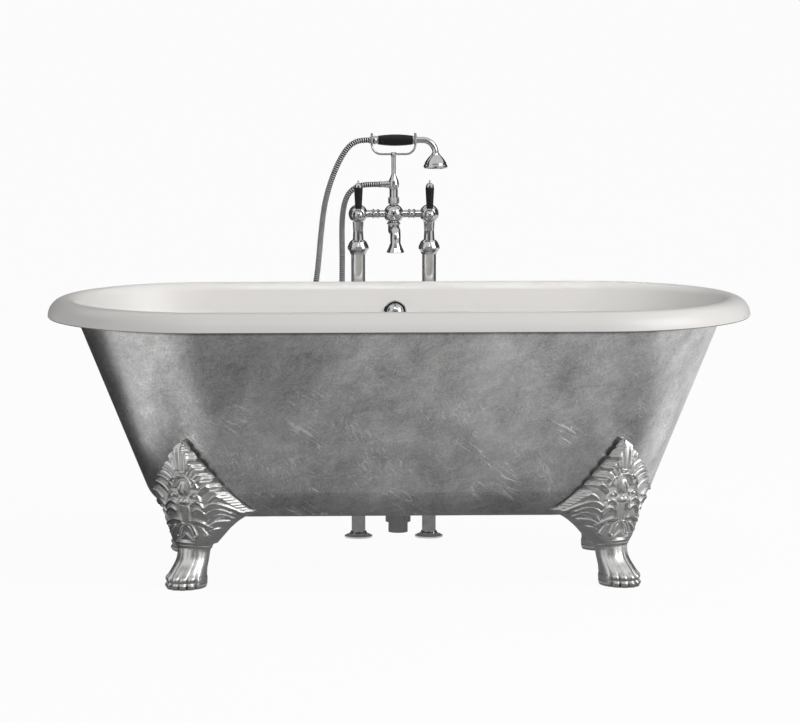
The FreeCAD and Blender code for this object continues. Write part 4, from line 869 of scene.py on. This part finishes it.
def foot_shank():
    """Collar, ankle and five-toed paw: a ball drawn out to the leg's sections."""
    deselect()
    bpy.ops.mesh.primitive_uv_sphere_add(segments=SHANK_SIDES, ring_count=SHANK_RINGS, radius=1)
    shank = bpy.context.object
    spots = points_of(shank)
    share = np.arcsin(np.clip(spots[:, 2], -1, 1)) / math.pi + 0.5
    turn = np.degrees(np.arctan2(spots[:, 0], -spots[:, 1]))
    away = abs(turn)
    height = SHANK_TOP * np.clip((share - SOLE_SHARE) / (CROWN_SHARE - SOLE_SHARE), 0, 1)
    spread = np.clip(np.minimum(share / SOLE_SHARE, (1 - share) / (1 - CROWN_SHARE)), 0, 1)
    reach_of_toes = TOES * TOE_TURN / 2
    lobe = np.mod((turn + reach_of_toes) / TOE_TURN, 1) * 2 - 1
    toe = np.sqrt(np.clip(1 - lobe ** 2, 0, 1))
    front = smooth(away, reach_of_toes + TOE_FADE[0], reach_of_toes - TOE_FADE[1])
    depth = np.interp(height, *TOE_GROOVES)
    knuckle = sum(rise * ridge(height, middle, width) for rise, middle, width in KNUCKLES)
    toes = 1 + front * (knuckle * toe - depth * (1 - toe))
    crease = CREASE_DEPTH * smooth(away, *CREASE_TURNS) \
        * ridge(height, CREASE_HEIGHT + CREASE_SLANT * away, CREASE_WIDTH)
    heel = 1 - HEEL_DEPTH * smooth(away, *HEEL_TURNS) * smooth(height, *HEEL_HEIGHTS)
    rings = sum(rise * ridge(height, COLLAR_HEIGHT + above, width)
                for rise, above, width in COLLAR_RINGS)
    scale = spread * (toes * heel - crease + rings)
    angle = np.radians(turn)
    side = table(height, SHANK, 1) * np.sin(angle) * scale
    deep = table(height, SHANK, 2) * np.cos(angle) * scale
    lift = COLLAR_TILT * deep * smooth(height, *TILT_HEIGHTS)
    move_points(shank, foot_place(side, table(height, SHANK, 3) + deep, height + lift))
    # Painted shade in the grooves between the toes, in a line round the collar and in the crease
    groove_shade = front * (1 - toe) ** GROOVE_CURVE * np.clip(depth / GROOVE_FULL, 0, 1)
    collar_shade = COLLAR_PAINTED_SHADE * ridge(height, COLLAR_HEIGHT, COLLAR_LINE)
    set_painted_shade(shank, groove_shade + collar_shade + CREASE_PAINTED_SHADE * crease)
    return shank


def foot_tongue():
    """Flat tongue from the leg back to the bolt under the bath, with a rounded end."""
    deselect()
    bpy.ops.mesh.primitive_cube_add(size=1)
    tongue = bpy.context.object
    spots = points_of(tongue)
    near, far = TONGUE_REACH
    low, high = TONGUE_HEIGHTS
    side = spots[:, 0] * TONGUE_WIDTH
    reach = np.where(spots[:, 1] > 0, near, far)
    height = np.where(spots[:, 2] > 0, high, low)
    move_points(tongue, np.stack([side, -reach, height], axis=1) * MM)
    bpy.ops.object.mode_set(mode="EDIT")
    bpy.ops.mesh.select_all(action="DESELECT")
    bpy.ops.object.mode_set(mode="OBJECT")
    halfway = -(near + far) / 2 * MM
    for edge in tongue.data.edges:
        first, second = (tongue.data.vertices[number].co for number in edge.vertices)
        upright = abs(first.z - second.z) > (high - low) / 2 * MM
        edge.select = upright and first.y > halfway
    bpy.ops.object.mode_set(mode="EDIT")
    bpy.ops.mesh.select_mode(type="EDGE")
    bpy.ops.mesh.bevel(offset=TONGUE_ROUND * MM, segments=TONGUE_STEPS, affect="EDGES")
    bpy.ops.mesh.select_mode(type="VERT")
    bpy.ops.object.mode_set(mode="OBJECT")
    spots = points_of(tongue) / MM
    move_points(tongue, foot_place(spots[:, 0], -spots[:, 1], spots[:, 2]))
    # Painted shade over the whole tongue
    set_painted_shade(tongue, np.full(len(spots), TONGUE_PAINTED_SHADE))
    return tongue


def claw_feet():
    """One carved foot, copied and mirrored to the bath's four corners."""
    plate, shank, tongue = foot_plate(), foot_shank(), foot_tongue()
    for piece in (plate, shank, tongue):
        tidy_faces(piece, FOOT_CREASE)
    chosen(plate, shank, tongue)
    bpy.ops.object.join()
    first = bpy.context.object
    for end, across in (("left", 1), ("right", -1)):
        for place, along in (("front", 1), ("rear", -1)):
            foot = first.copy()
            foot.data = first.data.copy()
            bpy.context.scene.collection.objects.link(foot)
            spots = points_of(foot)
            spots[:, 0] *= across
            spots[:, 1] = TUB_Y + (spots[:, 1] - TUB_Y) * along
            move_points(foot, spots)
            if across * along < 0:
                foot.data.flip_normals()
            settle(foot, f"carved_foot_{place}_{end}", "polished_iron", "fixture")
            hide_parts(f"foot_{place}_{end}")
    bpy.data.objects.remove(first)


# Shower rose's nozzles, in metres: how many in each ring, rings' pitch, a nozzle's sizes
ROSE_RINGS = (1, 6, 12, 18)
ROSE_PITCH = 0.0068
NOZZLE_SIDES = 12
NOZZLE_ROOT = 0.0013
NOZZLE_TIP = 0.0008
NOZZLE_LENGTH = 0.0016
NOZZLE_DROP = 0.0006
NOZZLE_CREASE = math.radians(40)


def rose_nozzles():
    """Rings of small nozzles on the shower rose's face."""
    low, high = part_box("rose_face")
    centre = Vector(((low[0] + high[0]) / 2, (low[1] + high[1]) / 2, low[2] - NOZZLE_DROP))
    deselect()
    made = []
    for ring, count in enumerate(ROSE_RINGS):
        for number in range(count):
            angle = 2 * math.pi * (number + 0.5 * (ring % 2)) / count
            away = Vector((math.cos(angle), math.sin(angle), 0)) * ring * ROSE_PITCH
            bpy.ops.mesh.primitive_cone_add(
                vertices=NOZZLE_SIDES, radius1=NOZZLE_ROOT, radius2=NOZZLE_TIP,
                depth=NOZZLE_LENGTH, location=centre + away, rotation=(math.pi, 0, 0))
            made.append(bpy.context.object)
    nozzles = chosen(*made)
    bpy.ops.object.join()
    bpy.ops.object.transform_apply(location=True, rotation=True, scale=True)
    tidy_faces(nozzles, NOZZLE_CREASE)
    settle(nozzles, "rose_nozzles", "black_grip", "handset")


# Floor and surround: sizes in metres, and how white they are to the eye and as light
WHITE = (1, 1, 1, 1)
FLOOR_SIZE = 4000
FLOOR_TONE = (0.86, 0.86, 0.86, 1)
FLOOR_WHITE = 0.95
SURROUND_LIGHT = 0.48
# Lamps: place, point they face, width, height, power, spread in degrees
LAMPS = {
    "right_softbox": ((4.6, -2.6, 3.4), (0, 0, 0.5), 4.2, 4.2, 165, 180),
    "over_bath": ((0, -1.2, 2.2), (0, 0.3, 0.52), 1.5, 0.15, 0.45, 20),
}
# Cards: place, point they face, width, height, tone
CARDS = {
    "front_card": ((0, -11.5, 5.2), (0, 0, 5.2), 16, 11.0, 0.44),
    "lens_card": ((-0.3, -10.5, 1.6), (0, 0, 0.9), 5.0, 4.2, 0.03),
    "left_floor_card": ((-0.66, -5.55, 0.02), (-0.66, -5.55, 1), 1.1, 9.0, 0.29),
    "right_floor_card": ((0.55, -5.55, 0.02), (0.55, -5.55, 1), 1.3, 9.0, 0.64),
    # Dark cards on the floor in front of and under the bath: a painted shadow of the bath, seen
    # only in reflections
    "front_floor_shadow_card": ((0, -0.9, 0.02), (0, -0.9, 1), 1.7, 0.3, 0.3),
    "under_bath_shadow_card": ((0, 0.0, 0.01), (0, 0.0, 1), 1.7, 1.5, 0.2),
    "back_card": ((0, 3.4, 1.5), (0, 0, 1.5), 8.4, 4.6, 0.04),
    "back_left_card": ((-2.3, 1.9, 0.02), (-2.3, 1.9, 1), 3.0, 3.4, 0.05),
    # Dark card on the floor by the bath's left end: a painted shadow, seen only in reflections
    "left_floor_shadow_card": ((-0.84, -0.15, 0.02), (-0.84, -0.15, 1), 0.5, 0.8, 0.04),
    "right_card": ((4.8, 1.4, 1.5), (0, 0.4, 1), 4.2, 4.6, 0.1),
    "left_card": ((-4.8, 1.2, 1.5), (0, 0.4, 1), 4.2, 4.6, 0.06),
    "right_flag": ((1.15, -0.75, 0.03), (1.15, -0.75, 1), 0.38, 1.2, 0.08),
}


def floor():
    """Pale floor, near white to the eye and in reflections, with the bath's soft shadow on it."""
    deselect()
    bpy.ops.mesh.primitive_plane_add(size=FLOOR_SIZE)
    sheet = bpy.context.object
    sheet.name = "floor"
    f = new_finish("pale_floor")
    matte = f.node("ShaderNodeBsdfDiffuse", {}, {"Color": FLOOR_TONE})
    white = f.node("ShaderNodeEmission", {}, {"Color": WHITE, "Strength": 1.0})
    share = f.seen() * FLOOR_WHITE
    mixed = f.node("ShaderNodeMixShader", {}, [share, matte, white])
    sheet.data.materials.append(f.show(mixed))


def facing(place, aim, front):
    """Turn that points an object's front from its place to its aim."""
    return (Vector(aim) - Vector(place)).to_track_quat(front, "Y").to_euler()


def card(name, place, aim, width, height, tone):
    """A studio card that only polished surfaces show."""
    deselect()
    bpy.ops.mesh.primitive_plane_add(size=1)
    board = bpy.context.object
    board.name = name
    board.scale = (width, height, 1)
    board.location = place
    board.rotation_euler = facing(place, aim, "Z")
    f = new_finish(name)
    glow = f.node("ShaderNodeEmission", {}, {"Color": opaque((tone,) * 3), "Strength": 1.0})
    board.data.materials.append(f.show(glow))
    board.visible_camera = False
    board.visible_diffuse = False
    board.visible_shadow = False
    board.visible_transmission = False


def lamp(name, place, aim, width, height, power, spread):
    light = bpy.data.lights.new(name, "AREA")
    light.spread = math.radians(spread)
    light.shape = "RECTANGLE"
    light.size = width
    light.size_y = height
    light.energy = power
    holder = bpy.data.objects.new(name, light)
    holder.location = place
    holder.rotation_euler = facing(place, aim, "-Z")
    bpy.context.scene.collection.objects.link(holder)


def surround():
    """World that is white to the eye and a weaker light to all else."""
    world = bpy.data.worlds.new("studio")
    bpy.context.scene.world = world
    f = Finish(world)
    share = f.seen()
    light = f.node("ShaderNodeBackground", {}, {"Color": WHITE, "Strength": SURROUND_LIGHT})
    white = f.node("ShaderNodeBackground", {}, {"Color": WHITE, "Strength": 1.0})
    mixed = f.node("ShaderNodeMixShader", {}, [share, light, white])
    f.node("ShaderNodeOutputWorld", {}, {"Surface": mixed})


def camera():
    film = bpy.data.cameras.new("camera")
    film.sensor_fit = "HORIZONTAL"
    film.sensor_width = CAMERA_FILM
    film.lens = CAMERA_LENS
    film.clip_end = CAMERA_REACH
    holder = bpy.data.objects.new("camera", film)
    level = math.cos(CAMERA_ELEVATION)
    back = Vector((math.sin(CAMERA_AZIMUTH) * level, -math.cos(CAMERA_AZIMUTH) * level,
                   math.sin(CAMERA_ELEVATION)))
    holder.location = CAMERA_TARGET + back * CAMERA_DISTANCE
    holder.rotation_euler = back.to_track_quat("Z", "Y").to_euler()
    bpy.context.scene.collection.objects.link(holder)
    bpy.context.scene.camera = holder


def studio():
    """White surround, soft lamps, cards and the camera."""
    surround()
    for name, row in LAMPS.items():
        lamp(name, *row)
    for name, row in CARDS.items():
        card(name, *row)
    camera()
    bpy.context.scene.view_settings.view_transform = "Standard"


shower_hose()
claw_feet()
rose_nozzles()
dress_castings()
floor()
studio()
